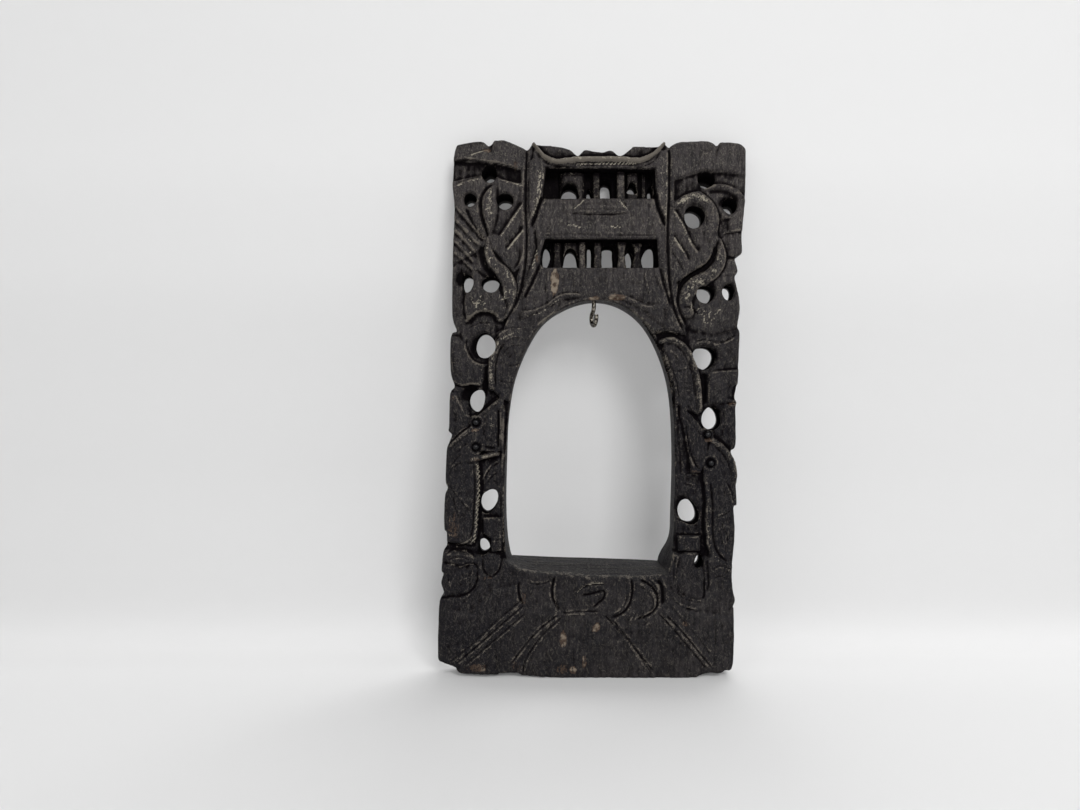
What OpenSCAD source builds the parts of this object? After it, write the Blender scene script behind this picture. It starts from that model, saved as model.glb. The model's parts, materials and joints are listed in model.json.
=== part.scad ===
/* [Board] */
// Width of the carved board
board_w = 154.5; // [140:0.5:170]
// Height of the carved board
board_h = 269; // [245:1:295]
// Thickness of the carved board at its highest carving
board_t = 18; // [18:0.5:22]

/* [Relief, measured from the flat back] */
// Thickness at the floor of the two window recesses
window_t = 6; // [5:0.5:7]
// Thickness left at the sunk ground of the carving
ground_t = 10; // [9:0.5:11]
// Thickness at the pillars in the windows
pillar_t = 12; // [11.5:0.1:12.5]
// Thickness at the leaves and the rocks
leaf_t = 13; // [12.8:0.1:13.4]
// Thickness at the side blocks
block_t = 14; // [13.8:0.1:14.4]
// Thickness at the tree trunks and the robed figures
figure_t = 15; // [14.8:0.1:15.4]
// Thickness at the walls of the pavilion and the arch moulding
wall_t = 16; // [15.8:0.1:16.4]
// Thickness at the base
base_t = 17; // [16.8:0.1:17.4]

/* [Sill] */
// Height of the sill at the flat back
sill_back_z = 57.5; // [56:0.5:59]
// How far the sill falls from the back to the front
sill_fall = 5.5; // [3:0.5:6]

/* [Screw hook] */
// Diameter of the hook's wire
wire_d = 2.2; // [1.8:0.1:2.4]
// Radius of the bowl at the middle of the wire
bowl_r = 3.7; // [3.4:0.1:4.2]
// Length of shank that sits in the wood
shank_l = 10; // [8:0.5:11]
// Radial clearance between the shank and its hole
shank_play = 0.05; // [0.02:0.01:0.08]
// Turn of the hook's tip from the board's front
hook_turn = 15; // [-45:1:45]

/* [Bead eyes] */
// Diameter of a glass bead
bead_d = 3.2; // [2.6:0.1:3.4]
// Diameter of the wire pin in a bead
pin_d = 0.9; // [0.8:0.1:1.2]
// Depth that a pin goes into the wood
pin_deep = 5; // [4:0.5:6]
// Depth of the flat-bottomed socket that a bead sits in
socket_deep = 0.8; // [0.6:0.1:1]

/* [Hidden] */

WOOD = "#2e2a2b";
STEEL = "#b9b6ae";
GLASS = "#0b0b0d";
PIN_STEEL = "#6f6c66";

// The carving's points are given on a pattern of this width and height
pattern_w = 154.5;
pattern_h = 269;
back_y = board_t / 2;
// How far a cut runs past the face it opens
cut = 1;
// Steps between two points of a smooth curve, and how much each layer is drawn in from the one behind
smooth = 4;
draw_in = 0.08;

// The board's outline, from the lower left corner round by the foot, right side, top and left side
outline = [
    [-77.25, 10], [-74, 7.5], [-68, 5], [-67.25, 3.5], [-64, 2], [-48.5, 1.5], [-46, 2.3], [-36.5, 2.3],
    [-34.5, 1.2], [-16, -1], [48, -1], [54, 1.5], [58.5, 2.5], [62.5, 2], [65.5, 3.5], [69.5, 6.5],
    [70, 32.5], [69.3, 34.5], [70.5, 38.5], [69.5, 43.5], [69, 53.5], [70.5, 71], [70, 84.5],
    [71.5, 86.5], [71, 96], [71.5, 101.5], [70.5, 108.5], [69, 113], [71.5, 116], [71.5, 134.5],
    [72, 137], [71.3, 140.5], [72.5, 148.5], [73.5, 168.5], [73.5, 173], [72.2, 176], [73.5, 183.5],
    [73.3, 188.5], [72, 196], [71, 200.5], [72.5, 203.5], [71, 210], [74.5, 212.5], [74.5, 222],
    [76, 238.5], [76.5, 249.5], [77.25, 258.5], [76.5, 263.5], [74.5, 266], [71.5, 266.8],
    [64.5, 267.3], [63, 266.6], [61.5, 265.3], [58.5, 267.7], [46.5, 267.5], [43, 267], [39.5, 265.3],
    [38.2, 264], [35.5, 267], [33, 265.5], [21.5, 265.7], [19.5, 264.7], [14, 261], [9.5, 263.8],
    [4.5, 262.8], [-3, 264], [-5, 263], [-7.5, 261], [-11.5, 264.2], [-18, 265.7], [-27.5, 266.5],
    [-29.5, 267], [-32.5, 263.7], [-35.5, 264.2], [-44, 268.5], [-47.5, 269], [-49, 268], [-52, 265.2],
    [-56, 268], [-66, 266.2], [-68, 264.5], [-69, 259.5], [-69.5, 252.5], [-69.7, 246],
    [-68.8, 234.5], [-69.5, 216], [-69.7, 207.5], [-70, 196], [-70, 182.5], [-69.3, 177.5],
    [-67.8, 173], [-70.5, 170.7], [-70.7, 153.5], [-68.8, 145.5], [-71, 141.5], [-71.5, 126],
    [-71.8, 123], [-70.1, 121], [-71.5, 117], [-72.5, 113.5], [-73.1, 98.5], [-72, 94.5],
    [-73.5, 90], [-73.8, 74.5], [-72.5, 72.5], [-72.7, 65], [-74.1, 63], [-75.1, 53.5],
    [-74.2, 51.5], [-75.3, 47], [-74, 42.5], [-74, 40.5], [-76, 38], [-76.7, 23.5]
];

// The arched opening, as points on one smooth curve from the sill's left end round to its right end
arch = [
    [-40.6, 56], [-43, 70.7], [-43.7, 85], [-43.2, 108], [-42, 132], [-37.5, 153.5], [-26.5, 175],
    [-13, 185], [1.5, 188.6], [15, 185.5], [27, 175.5], [36, 157.5], [40.4, 138], [41.7, 110],
    [41, 74], [38.6, 64.5], [34.4, 55]
];

// Pierced holes: middle x, middle z, half width, half height, lean in degrees
holes = [
    [-51.3, 251.5, 3.9, 5, 0], [-60.8, 238, 3.3, 3.7, 0], [-43.8, 237.5, 4.4, 4.5, 0],
    [-62, 196.2, 3.1, 4.6, 0], [-50.6, 195.2, 4.6, 4.2, 0], [-53.4, 165.4, 5.3, 6.4, 0],
    [-57.3, 137.7, 4.2, 5.9, -12], [-51.2, 88.3, 4, 6.6, -22], [-53.9, 66.3, 2.9, 4, 0],
    [57.3, 248.3, 4.5, 4.3, 0], [50.4, 229.2, 5.3, 5.7, 0], [68, 234.5, 3.8, 4.5, 0],
    [55.9, 190, 4.9, 4.4, 0], [66.9, 191.3, 3.1, 3.9, 0], [55.5, 159, 6.4, 5.7, 0],
    [58.9, 129, 5.2, 6, 0], [47.4, 83, 5, 6.6, 22], [52.6, 58.6, 2.4, 3.5, -8]
];

// Window recesses, as corner points
window_upper = [[-25.2, 239], [31.7, 239], [30.8, 253.5], [-23.2, 254.5]];
window_lower = [[-26.2, 205], [33.2, 204.5], [32.2, 219], [-23.7, 219]];

// Openings through the floor of the windows: left x, right x, bottom z, top z
panes = [
    [-21.5, -18.5, 240, 251], [-16, -7.6, 239.6, 248.5], [-3.6, -0.8, 240, 251.5],
    [2.6, 9.5, 240, 252], [17.2, 23.6, 239.6, 249.5], [28.2, 31, 239.6, 248],
    [-25, -20.8, 206, 217.5], [-15.2, -7.4, 205.4, 216.6], [-3, -0.2, 205.6, 218],
    [5, 11, 205.4, 218], [16.4, 20.8, 205.6, 215.5], [25.4, 32.4, 205.6, 218]
];

// Pillars that stand in the windows: left x, right x, bottom z, top z
pillars = [
    [-18.2, -16.4, 238, 253], [-7.2, -3.8, 238, 253], [-0.4, 2.2, 238, 253], [9.8, 16.8, 238, 253],
    [24, 27.8, 238, 253], [-20.2, -15.6, 204, 218.5], [-7, -3.4, 204, 218.5], [0.2, 4.6, 204, 218.5],
    [11.6, 16, 204, 218.5], [21.2, 25, 204, 218.5]
];

// The pavilion in the upper middle
pavilion = [
    [-24, 256], [31, 256], [33, 238], [37, 221], [38, 200], [41, 181], [31, 183], [17, 192], [1, 194.5],
    [-17, 191], [-32, 181], [-38, 180], [-31, 205], [-26, 219], [-30, 226], [-26, 239]
];
roof = [
    [-29.5, 270], [-23.5, 261], [-17.5, 259], [3.5, 259.3], [21, 259], [28.5, 262], [35.5, 270],
    [36.5, 262], [29.5, 256.5], [23.5, 254.6], [-21.5, 254.6], [-27.5, 258]
];
lintel = [[-5.3, 238.8], [12.8, 238.8], [17.8, 232], [-10.3, 232]];
spears = [
    [[-29, 266], [-24, 256], [-26, 240], [-30.5, 228], [-31.8, 238.5], [-31.6, 258]],
    [[34.5, 268], [37.6, 260], [37.6, 231], [35.5, 227], [33, 236], [31.5, 251], [31, 259]],
    [[-28.5, 220], [-24.3, 219.5], [-25.5, 207.5], [-30, 196], [-34.5, 188], [-35.5, 193], [-32.5, 207]],
    [[32.4, 220], [37, 221], [38.6, 208], [38.6, 191], [41, 182], [37.4, 188], [34.4, 201]]
];

// The moulding round the arch
moulding = [
    [-50, 126], [-48.5, 150], [-43, 166], [-32, 180], [-17, 190], [1, 193.5], [17, 191], [31, 182],
    [40, 170], [46.5, 152], [48, 126]
];

// Leaves and the panels of the trees at both sides
leaves = [
    [[-80, 280], [-33, 280], [-33, 250], [-47, 253], [-57, 253.5], [-80, 248]],
    [[38.5, 280], [90, 280], [90, 250], [66, 251], [58, 250], [38.5, 243]],
    [[-72, 246], [-56, 250], [-47, 249.5], [-33.5, 245], [-37, 236], [-46, 224], [-52, 219], [-58, 226],
     [-63, 232], [-72, 237]],
    [[-34, 238], [-31, 228], [-44, 214], [-48, 219], [-42, 229]],
    [[-32, 222], [-35.5, 207], [-44, 203], [-42, 212], [-36, 222]],
    [[-72, 233], [-66, 230], [-55, 219], [-60, 215], [-72, 226]],
    [[39.5, 238], [53, 244.5], [66, 247], [80, 246], [80, 226], [70, 223], [62, 219], [55, 215], [50, 222],
     [44, 232]],
    [[38.8, 234], [43, 232], [54, 212], [48, 209], [40, 222]],
    [[39, 216], [46, 206], [51, 200], [46, 196], [40, 196]],
    [[70, 223], [80, 226], [80, 212], [69, 213]]
];

// Tree trunks: a line of x, z and half width
trunk_left = [
    [-50.5, 222, 1.4], [-53.4, 214, 2], [-52.6, 207, 2.6], [-49, 202, 3.2], [-44, 197, 4.6],
    [-43.5, 189, 5.2], [-48, 181, 5], [-56, 178, 4]
];
trunk_right = [
    [62.7, 218, 1], [62.5, 210, 2.2], [58.8, 203, 3], [52, 198, 3.4], [47.6, 192, 4.4], [47.5, 184, 5.4],
    [54, 176, 6], [64, 176, 5]
];
rocks = [
    [[-67, 193], [-40, 193], [-38.5, 186], [-44, 178], [-66, 176], [-68, 184]],
    [[45, 190], [74, 190], [76, 175], [50, 171], [43, 180]]
];

// Blocks and folds of the sides, down to the base
blocks = [
    [[-74, 170], [-66, 167], [-62, 158], [-54, 154], [-54, 147], [-66, 146], [-74, 150]],
    [[76, 168], [66, 166], [65, 156], [56, 152], [57, 139], [70, 139], [78, 146]],
    [[-49.5, 162], [-42, 170], [-33, 171], [-37, 158], [-41, 142], [-44, 120], [-44.5, 60], [-46, 58],
     [-47, 78], [-45.5, 100], [-47.5, 120], [-46, 140]],
    [[40, 170], [47, 166], [51, 154], [53.5, 138], [49, 130], [45.5, 118], [46.5, 104], [45, 94], [41, 92],
     [40.5, 56], [43, 52], [41.5, 110], [37, 150]],
    [[-57, 81], [-45, 81], [-45, 69], [-57, 69]],
    [[43.5, 76], [54, 75], [54, 63], [43.5, 63]]
];
hood_left = [[-46, 138, 1], [-57, 128.5, 1.2], [-66, 120, 1.2], [-74, 112.5, 1]];
hood_right = [[44.5, 134.5, 1], [53, 125.5, 1.2], [62, 117.5, 1.6], [71, 107, 1.4]];
robes = [
    [[-58, 128], [-49, 126], [-48, 111], [-57, 106], [-57.5, 68], [-62, 58], [-80, 60], [-80, 116], [-70, 117]],
    [[45, 130], [55, 122], [64, 116], [76, 104], [76, 50], [66, 56], [61, 66], [59.5, 98], [54, 104], [47, 106]]
];
feet = [
    [[-55, 62], [-47, 62], [-45, 56], [-47, 50], [-55, 51]],
    [[45, 61], [53, 56], [54, 41], [46, 43], [42.5, 50]],
    [[-74, 58], [-60, 56], [-58, 50], [-62, 40], [-80, 40], [-80, 56]]
];

// The base, below a wavy upper edge
base = [
    [-90, -9], [90, -9], [90, 36], [60, 40], [52, 37], [42, 42], [36, 50], [25, 51], [-1, 51], [-14, 52.5],
    [-31, 54], [-38, 51], [-44, 50], [-52, 46], [-62, 38], [-90, 36]
];
path = [[-34, -9], [-15.5, 33], [4, 33], [26, -9]];

// Beads: x, z and side of the four eyes
bead_left_upper = [-58.1, 127.3];
bead_left_lower = [-58.2, 115];
bead_right_upper = [57.4, 121.2];
bead_right_lower = [59, 107];
beads = [bead_left_upper, bead_left_lower, bead_right_upper, bead_right_lower];
seat_t = figure_t - socket_deep;
socket_play = 0.2;
// How much of a bead is ground away to make its flat back
bead_flat = bead_d * 0.2;

// The hook's axis and heights
hook_x = 1 * board_w / pattern_w;
hook_y = 0;
crown_z = 188.6 * board_h / pattern_h;
// Depth of the hook's hole past the shank's end
bore_spare = 0.5;
// Straight length below the crown, height of the double bend, middle of the bowl and straight tip
free_l = 1.4;
bend_h = 6;
bowl_z = crown_z - 8.7;
tip_l = 1.5;
// The bent wire is this much thinner in radius, from a shoulder this far above the bend
bend_thinning = 0.04;
shoulder = 0.45;
bend_a = 2 * atan(bowl_r / bend_h);
bend_r = bend_h / (2 * sin(bend_a));

// A point of the pattern at the board's real size
function at_size(p) = [p[0] * board_w / pattern_w, p[1] * board_h / pattern_h];
function all_at_size(points) = [for (p = points) at_size(p)];

// One point on the smooth curve through b and c, with neighbours a and d
function blend(a, b, c, d, t) =
    0.5 * (2 * b + (c - a) * t + (2 * a - 5 * b + 4 * c - d) * t * t
        + (3 * b - a - 3 * c + d) * t * t * t);

// A smooth curve through a list of points
function curve(points) = concat(
    [for (i = [0 : len(points) - 2], k = [0 : smooth - 1])
        blend(points[max(i - 1, 0)], points[i], points[i + 1],
            points[min(i + 2, len(points) - 1)], k / smooth)],
    [points[len(points) - 1]]
);

// The square direction to a line at its point i
function side_of(line, i) =
    let (d = line[min(i + 1, len(line) - 1)] - line[max(i - 1, 0)], l = norm([d[0], d[1]])) [-d[1] / l, d[0] / l];

// A ribbon along a smooth line of x, z and half width
function ribbon(line) =
    let (c = curve(line), n = len(c) - 1) concat(
        [for (i = [0 : n]) [c[i][0], c[i][1]] + side_of(c, i) * c[i][2]],
        [for (i = [n : -1 : 0]) [c[i][0], c[i][1]] - side_of(c, i) * c[i][2]]
    );

// An ellipse of x, z, half width, half height and lean
function ellipse(h) = [for (a = [0 : 18 : 342])
    [h[0] + h[2] * cos(a) * cos(h[4]) - h[3] * sin(a) * sin(h[4]),
     h[1] + h[2] * cos(a) * sin(h[4]) + h[3] * sin(a) * cos(h[4])]];

function rectangle(r) = [[r[0], r[2]], [r[1], r[2]], [r[1], r[3]], [r[0], r[3]]];

// Every carved form as its thickness and its outline
carved = concat(
    [[ground_t, [[-90, -9], [90, -9], [90, 280], [-90, 280]]]],
    [for (p = leaves) [leaf_t, p]],
    [for (p = rocks) [leaf_t, p]],
    [for (p = feet) [leaf_t, p]],
    [for (p = blocks) [block_t, p]],
    [for (p = robes) [figure_t, p]],
    [for (line = [trunk_left, trunk_right]) [figure_t, ribbon(line)]],
    [for (line = [hood_left, hood_right]) [wall_t, ribbon(line)]],
    [[wall_t, curve(moulding)], [wall_t, pavilion]],
    [for (p = spears) [base_t, p]],
    [[base_t, lintel], [base_t, base], [board_t, roof], [board_t, path]]
);
// The planes between the layers that the board is built from
planes = [0, window_t, ground_t, pillar_t, leaf_t, block_t, figure_t, wall_t, base_t, board_t];

// A flat shape of the pattern
module shape(points) {
    polygon(all_at_size(points));
}

// A stretch of the board between two distances from its back, from a flat shape
module layer(low, high) {
    translate([0, back_y - low, 0]) rotate([90, 0, 0]) linear_extrude(high - low) children();
}

// The windows' outline at a distance from the back, without the pillars that still stand there
module window_shape(high) {
    difference() {
        union() {
            shape(window_upper);
            shape(window_lower);
        }
        if (high <= pillar_t) for (p = pillars) shape(rectangle(p));
    }
}

// Everything that is open in the layer below a plane
module open_shape(high) {
    shape(concat(curve(arch), [[34.4, 60], [-40.6, 60]]));
    for (h = holes) shape(ellipse(h));
    if (high <= window_t) for (p = panes) shape(rectangle(p));
    if (high > window_t) window_shape(high);
}

// The board's flat shape just below a plane, drawn in a little at each layer as a gouge leaves it
module carved_shape(i) {
    offset(delta = -draw_in * (i - 1)) difference() {
        intersection() {
            shape(outline);
            union() for (c = carved) if (c[0] >= planes[i]) shape(c[1]);
        }
        open_shape(planes[i]);
    }
}

// The sill's slope, from the back down to the front
module sill_cut() {
    left = at_size([-43, 0])[0];
    right = at_size([40.6, 0])[0];
    back_z = sill_back_z * board_h / pattern_h;
    slope = sill_fall / board_t;
    translate([left, 0, 0]) rotate([90, 0, 90]) linear_extrude(right - left) polygon([
        [back_y + cut, back_z + cut * slope], [-back_y - cut, back_z - sill_fall - cut * slope],
        [-back_y - cut, back_z + 8], [back_y + cut, back_z + 8]
    ]);
}

// One eye's socket and pin hole, from the carving's face towards the back
module eye_cut(place) {
    p = at_size(place);
    translate([p[0], back_y - seat_t, p[1]]) rotate([90, 0, 0])
        cylinder(h = board_t, d = bead_d + socket_play, $fn = 48);
    translate([p[0], back_y - seat_t + pin_deep, p[1]]) rotate([90, 0, 0])
        cylinder(h = pin_deep + cut, d = pin_d, $fn = 32);
}

module frame_board() {
    color(WOOD) difference() {
        for (i = [1 : len(planes) - 1]) layer(planes[i - 1], planes[i]) carved_shape(i);
        translate([-board_w, -board_t, -2 * cut]) cube([2 * board_w, 2 * board_t, 2 * cut]);
        sill_cut();
        for (b = beads) eye_cut(b);
        translate([hook_x, hook_y, crown_z - 3])
            cylinder(h = shank_l + bore_spare + 3, d = wire_d + 2 * shank_play, $fn = 48);
    }
}

// The hook's bent wire as points of reach, height and heading, from inside the shank to the tip
function bent_wire(top, low) = concat(
    [[0, top + 1, -90]],
    [for (a = [0 : bend_a / 4 : bend_a]) [-bend_r + bend_r * cos(a), top - bend_r * sin(a), -90 - a]],
    [for (a = [bend_a * 0.75 : -bend_a / 4 : 0])
        [bend_r - bowl_r - bend_r * cos(a), low + bend_r * sin(a), -90 - a]],
    [for (a = [0 : 15 : 180]) [-bowl_r * cos(a), bowl_z - bowl_r * sin(a), -90 + a]],
    [[bowl_r, bowl_z + tip_l, 90]]
);

// A round wire of radius r swept along points of reach, height and heading
module wire(line, r) {
    sides = 24;
    last = len(line) - 1;
    rings = [for (p = line, k = [0 : sides - 1])
        let (a = 360 * k / sides, out = r * cos(a)) [p[0] - out * sin(p[2]), r * sin(a), p[1] + out * cos(p[2])]];
    walls = [for (i = [0 : last - 1], k = [0 : sides - 1])
        let (n = (k + 1) % sides, a = i * sides, b = a + sides) [a + k, a + n, b + n, b + k]];
    first_end = [for (k = [sides - 1 : -1 : 0]) k];
    last_end = [for (k = [0 : sides - 1]) last * sides + k];
    polyhedron(rings, concat([first_end], walls, [last_end]));
}

module screw_hook() {
    bend_top = crown_z - free_l;
    color(STEEL) translate([hook_x, hook_y, 0]) rotate([0, 0, hook_turn - 90]) {
        translate([0, 0, bend_top + shoulder]) cylinder(h = free_l + shank_l - shoulder, d = wire_d, $fn = 48);
        wire(bent_wire(bend_top, bend_top - bend_h), wire_d / 2 - bend_thinning);
    }
}

// A round bead with a flat back and a blind hole for its pin
module eye_bead(place) {
    p = at_size(place);
    r = bead_d / 2;
    color(GLASS) translate([p[0], back_y - seat_t, p[1]]) rotate([90, 0, 0]) difference() {
        translate([0, 0, r - bead_flat]) sphere(r = r, $fn = 48);
        translate([0, 0, -r]) cylinder(h = r, r = r + cut, $fn = 48);
        translate([0, 0, -cut]) cylinder(h = cut + r * 0.7, d = pin_d, $fn = 32);
    }
}

// A straight wire pin from a bead's hole to the bottom of its hole in the wood
module eye_pin(place) {
    p = at_size(place);
    color(PIN_STEEL) translate([p[0], back_y - seat_t + pin_deep, p[1]]) rotate([90, 0, 0])
        cylinder(h = pin_deep + bead_d * 0.35, d = pin_d, $fn = 32);
}

module eye_bead_left_upper() { eye_bead(bead_left_upper); }
module eye_bead_left_lower() { eye_bead(bead_left_lower); }
module eye_bead_right_upper() { eye_bead(bead_right_upper); }
module eye_bead_right_lower() { eye_bead(bead_right_lower); }
module eye_pin_left_upper() { eye_pin(bead_left_upper); }
module eye_pin_left_lower() { eye_pin(bead_left_lower); }
module eye_pin_right_upper() { eye_pin(bead_right_upper); }
module eye_pin_right_lower() { eye_pin(bead_right_lower); }

frame_board();
screw_hook();
eye_bead_left_upper();
eye_bead_left_lower();
eye_bead_right_upper();
eye_bead_right_lower();
eye_pin_left_upper();
eye_pin_left_lower();
eye_pin_right_upper();
eye_pin_right_lower();
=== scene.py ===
"""A carved and pierced hardwood frame with a screw hook and glass bead eyes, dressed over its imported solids.

The board's face is a relief: a height over a square grid, shaped by the same few moves a carver makes.
Lengths in the tables are millimetres, x to the right and z up, as seen from the front.
"""

import functools
import json
import math

import bpy
import numpy as np
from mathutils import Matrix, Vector
from mathutils.geometry import delaunay_2d_cdt


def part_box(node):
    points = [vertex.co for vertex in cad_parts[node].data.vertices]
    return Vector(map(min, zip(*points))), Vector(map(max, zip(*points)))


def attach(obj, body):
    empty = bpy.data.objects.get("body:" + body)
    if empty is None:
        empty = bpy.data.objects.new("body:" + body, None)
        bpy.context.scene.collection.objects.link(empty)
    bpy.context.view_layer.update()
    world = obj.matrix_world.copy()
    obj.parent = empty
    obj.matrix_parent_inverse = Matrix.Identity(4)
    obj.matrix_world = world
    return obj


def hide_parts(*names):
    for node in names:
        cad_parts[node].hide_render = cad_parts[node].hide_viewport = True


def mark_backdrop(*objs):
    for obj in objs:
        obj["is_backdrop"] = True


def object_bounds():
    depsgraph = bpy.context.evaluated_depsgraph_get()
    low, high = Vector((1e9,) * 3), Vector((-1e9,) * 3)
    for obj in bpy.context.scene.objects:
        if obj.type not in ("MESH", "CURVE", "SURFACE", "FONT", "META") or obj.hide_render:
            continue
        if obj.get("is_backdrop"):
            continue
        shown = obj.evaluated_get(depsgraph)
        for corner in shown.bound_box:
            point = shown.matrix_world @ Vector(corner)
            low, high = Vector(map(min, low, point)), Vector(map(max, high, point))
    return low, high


bl_info = {
    "name": "Carved Wooden Frame",
    "version": (1, 0, 0),
    "blender": (4, 5, 0),
    "location": "View3D > Sidebar > Carved Frame",
    "description": "A carved and pierced wooden frame with a screw hook and bead eyes",
    "category": "Add Mesh",
}

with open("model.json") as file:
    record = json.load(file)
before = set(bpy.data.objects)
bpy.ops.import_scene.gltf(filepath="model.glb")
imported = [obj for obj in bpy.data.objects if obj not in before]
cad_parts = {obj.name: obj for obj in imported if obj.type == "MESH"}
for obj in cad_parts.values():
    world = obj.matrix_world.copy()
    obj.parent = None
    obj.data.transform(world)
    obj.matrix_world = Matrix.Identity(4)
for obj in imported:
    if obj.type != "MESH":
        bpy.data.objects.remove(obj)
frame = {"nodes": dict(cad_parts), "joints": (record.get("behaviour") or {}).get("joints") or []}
CAD_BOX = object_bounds()
MM = 0.001


def box_of(name):
    """The low and the high corner of one of the frame's nodes, in mm."""
    return [np.array(corner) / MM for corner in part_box(name)]


BOARD_LOW, BOARD_HIGH = box_of("frame_board")
BACK_Y = BOARD_HIGH[1]
FULL = BOARD_HIGH[1] - BOARD_LOW[1]
BEADS = sorted(name for name in frame["nodes"] if name.startswith("eye_bead"))
PINS = sorted(name for name in frame["nodes"] if name.startswith("eye_pin"))

# The board's edge, from the lower left corner round by the foot, right side, top and left side
OUTLINE = [
    (-77.2, 10), (-74.4, 7.5), (-68.4, 5), (-67.6, 3.5), (-64.4, 2), (-48.5, 1.5), (-46, 2.3), (-36.5, 2.3),
    (-34.5, 1.2), (-16, 0.1), (14, 0), (48, 0.1), (54, 1.5), (58.5, 2.5), (63.2, 2), (66.2, 3.5), (70.2, 6.5),
    (70.7, 32.5), (70, 34.5), (71.2, 38.5), (70.2, 43.5), (69.7, 53.5), (71.2, 71), (70.7, 84.5), (72.2, 86.5),
    (71.7, 96), (72.2, 101.5), (71.2, 108.5), (69.7, 113), (72.2, 116), (72.2, 134.5), (72.7, 137), (72, 140.5),
    (73.2, 148.5), (74.2, 168.5), (74.2, 173), (72.9, 176), (74.2, 183.5), (74, 188.5), (72.7, 196), (71.7, 200.5),
    (73.2, 203.5), (71.7, 210), (75.2, 212.5), (75.2, 222), (76.7, 238.5), (77.2, 249.5), (77.2, 258.5), (77.2, 264.1),
    (75.2, 266.6), (72.2, 267.4), (65.2, 267.9), (63.7, 267.2), (62.2, 265.9), (58.5, 268.3), (46.5, 268.1),
    (43, 267.6), (39.5, 265.9), (38.2, 264.6), (35.5, 267), (33, 265.5), (21.5, 265.7), (19.5, 264.7), (14, 261),
    (9.5, 263.8), (4.5, 262.8), (-3, 264), (-5, 263), (-7.5, 261), (-11.5, 264.2), (-18, 265.7), (-27.5, 266.5),
    (-29.5, 267), (-32.5, 263.7), (-35.5, 265.2), (-44, 268.9), (-47.5, 268.9), (-49, 268.9), (-52, 266.2),
    (-56, 268.9), (-66.4, 267.2), (-68.4, 265.5), (-69.4, 259.5), (-69.9, 252.5), (-70.1, 246), (-69.2, 234.5),
    (-69.9, 216), (-70.1, 207.5), (-70.4, 196), (-70.4, 182.5), (-69.7, 177.5), (-68.2, 173), (-70.9, 170.7),
    (-71.1, 153.5), (-69.2, 145.5), (-71.4, 141.5), (-71.9, 126), (-72.2, 123), (-70.5, 121), (-71.9, 117),
    (-72.9, 113.5), (-73.5, 98.5), (-72.4, 94.5), (-73.9, 90), (-74.2, 74.5), (-72.9, 72.5), (-73.1, 65), (-74.5, 63),
    (-75.5, 53.5), (-74.6, 51.5), (-75.7, 47), (-74.4, 42.5), (-74.4, 40.5), (-76.4, 38), (-77.1, 23.5),
]

# The arch as pairs of one place on the front face and the place behind it on the back
ARCH = [
    ((-42.5, 57.5), (-40.9, 58.7)), ((-43.8, 63), (-42, 63)), ((-44.2, 71), (-43, 70.7)),
    ((-44.2, 86), (-43.6, 86)), ((-43.8, 108), (-43.2, 108)), ((-42, 132), (-42, 132)),
    ((-37.5, 153.5), (-37.5, 153.5)), ((-26.5, 175), (-26.5, 175)), ((-13, 185), (-13, 185)),
    ((1.5, 188.6), (1.5, 188.6)), ((15, 185.5), (15, 185.5)), ((27, 175.5), (27, 175.5)),
    ((36, 157.5), (36, 157.5)), ((40.4, 138), (40.4, 138)), ((41.7, 110), (41.7, 110)),
    ((41.5, 85), (41, 80)), ((41, 70), (40.6, 70.7)), ((40.5, 64), (39, 65.4)),
    ((40.2, 60), (36.5, 61.3)), ((39.6, 56.5), (35, 58)), ((38, 52.6), (34.4, 55.6)),
    ((36.2, 51.7), (33.6, 55.6)), ((23.7, 50.7), (22, 56.2)), ((-1.2, 50.8), (-1, 57)),
    ((-13.7, 52), (-14, 57.3)), ((-31.2, 53.2), (-31, 58)), ((-39.5, 55.8), (-39.5, 58.4)),
]

# Pierced holes: middle x, middle z, half width, half height, lean in degrees and how far the back end lies lower
HOLES = [
    (-51.7, 252.3, 3.9, 4.9, 0, 3.4), (-61.3, 239.1, 3.3, 3.5, 0, 1.8), (-43.8, 238.3, 4.3, 4.2, 0, 1.5),
    (-62.6, 197.2, 3.0, 4.6, 0, 0), (-51.1, 196.5, 4.5, 4.1, 0, 0), (-53.9, 165.9, 5.4, 6.4, 0, 0),
    (-58.1, 138.3, 4.2, 5.9, -12, 0), (-52, 87.6, 4.2, 6.5, -24, 0), (-54.4, 64.8, 2.9, 4, 0, 0),
    (57.4, 249.3, 4.5, 4.3, 0, 3.4), (51.2, 230.3, 5.2, 5.8, 0, 0.5), (69.2, 236.2, 3.7, 4.3, 0, 2.4),
    (56.9, 191.6, 4.8, 4.4, 0, 0), (68.4, 192.4, 3.1, 3.9, 0, 0), (56.5, 159.8, 6.0, 5.8, 0, 0),
    (60, 129, 4.9, 5.9, 0, 0), (48.6, 81.9, 4.9, 6.6, 24, 0), (53.1, 57.6, 2.2, 3.4, -8, 0),
]

# The two sunk windows and the openings pierced through the lattice that stands in each
WINDOW_UPPER = [(-25.2, 239), (31.7, 239), (31.2, 253.8), (-23.2, 254.4)]
WINDOW_LOWER = [(-26.2, 206), (-24.5, 204.6), (33.2, 204.5), (32.2, 219), (-23.7, 219), (-25.8, 212)]
OPENINGS_UPPER = [
    [(-15.6, 239.7), (-7.2, 239.7), (-6.9, 243), (-8, 246.6), (-11.4, 248.4), (-14.6, 246.8), (-15.9, 243)],
    [(-2.5, 239.9), (-0.2, 239.9), (-0.3, 244.6), (-1.2, 246.4), (-2.3, 245.6)],
    [(4.6, 240), (9.6, 240), (9.8, 248), (8.4, 251), (5.2, 251), (4.5, 247)],
    [(18, 242.6), (22.5, 242.6), (22.6, 245.5), (21.6, 248), (20.3, 248.8), (19, 248), (17.9, 245.5)],
    [(28.6, 240), (30.7, 240), (30.7, 246.4), (29.6, 247), (28.6, 245)],
]
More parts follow.
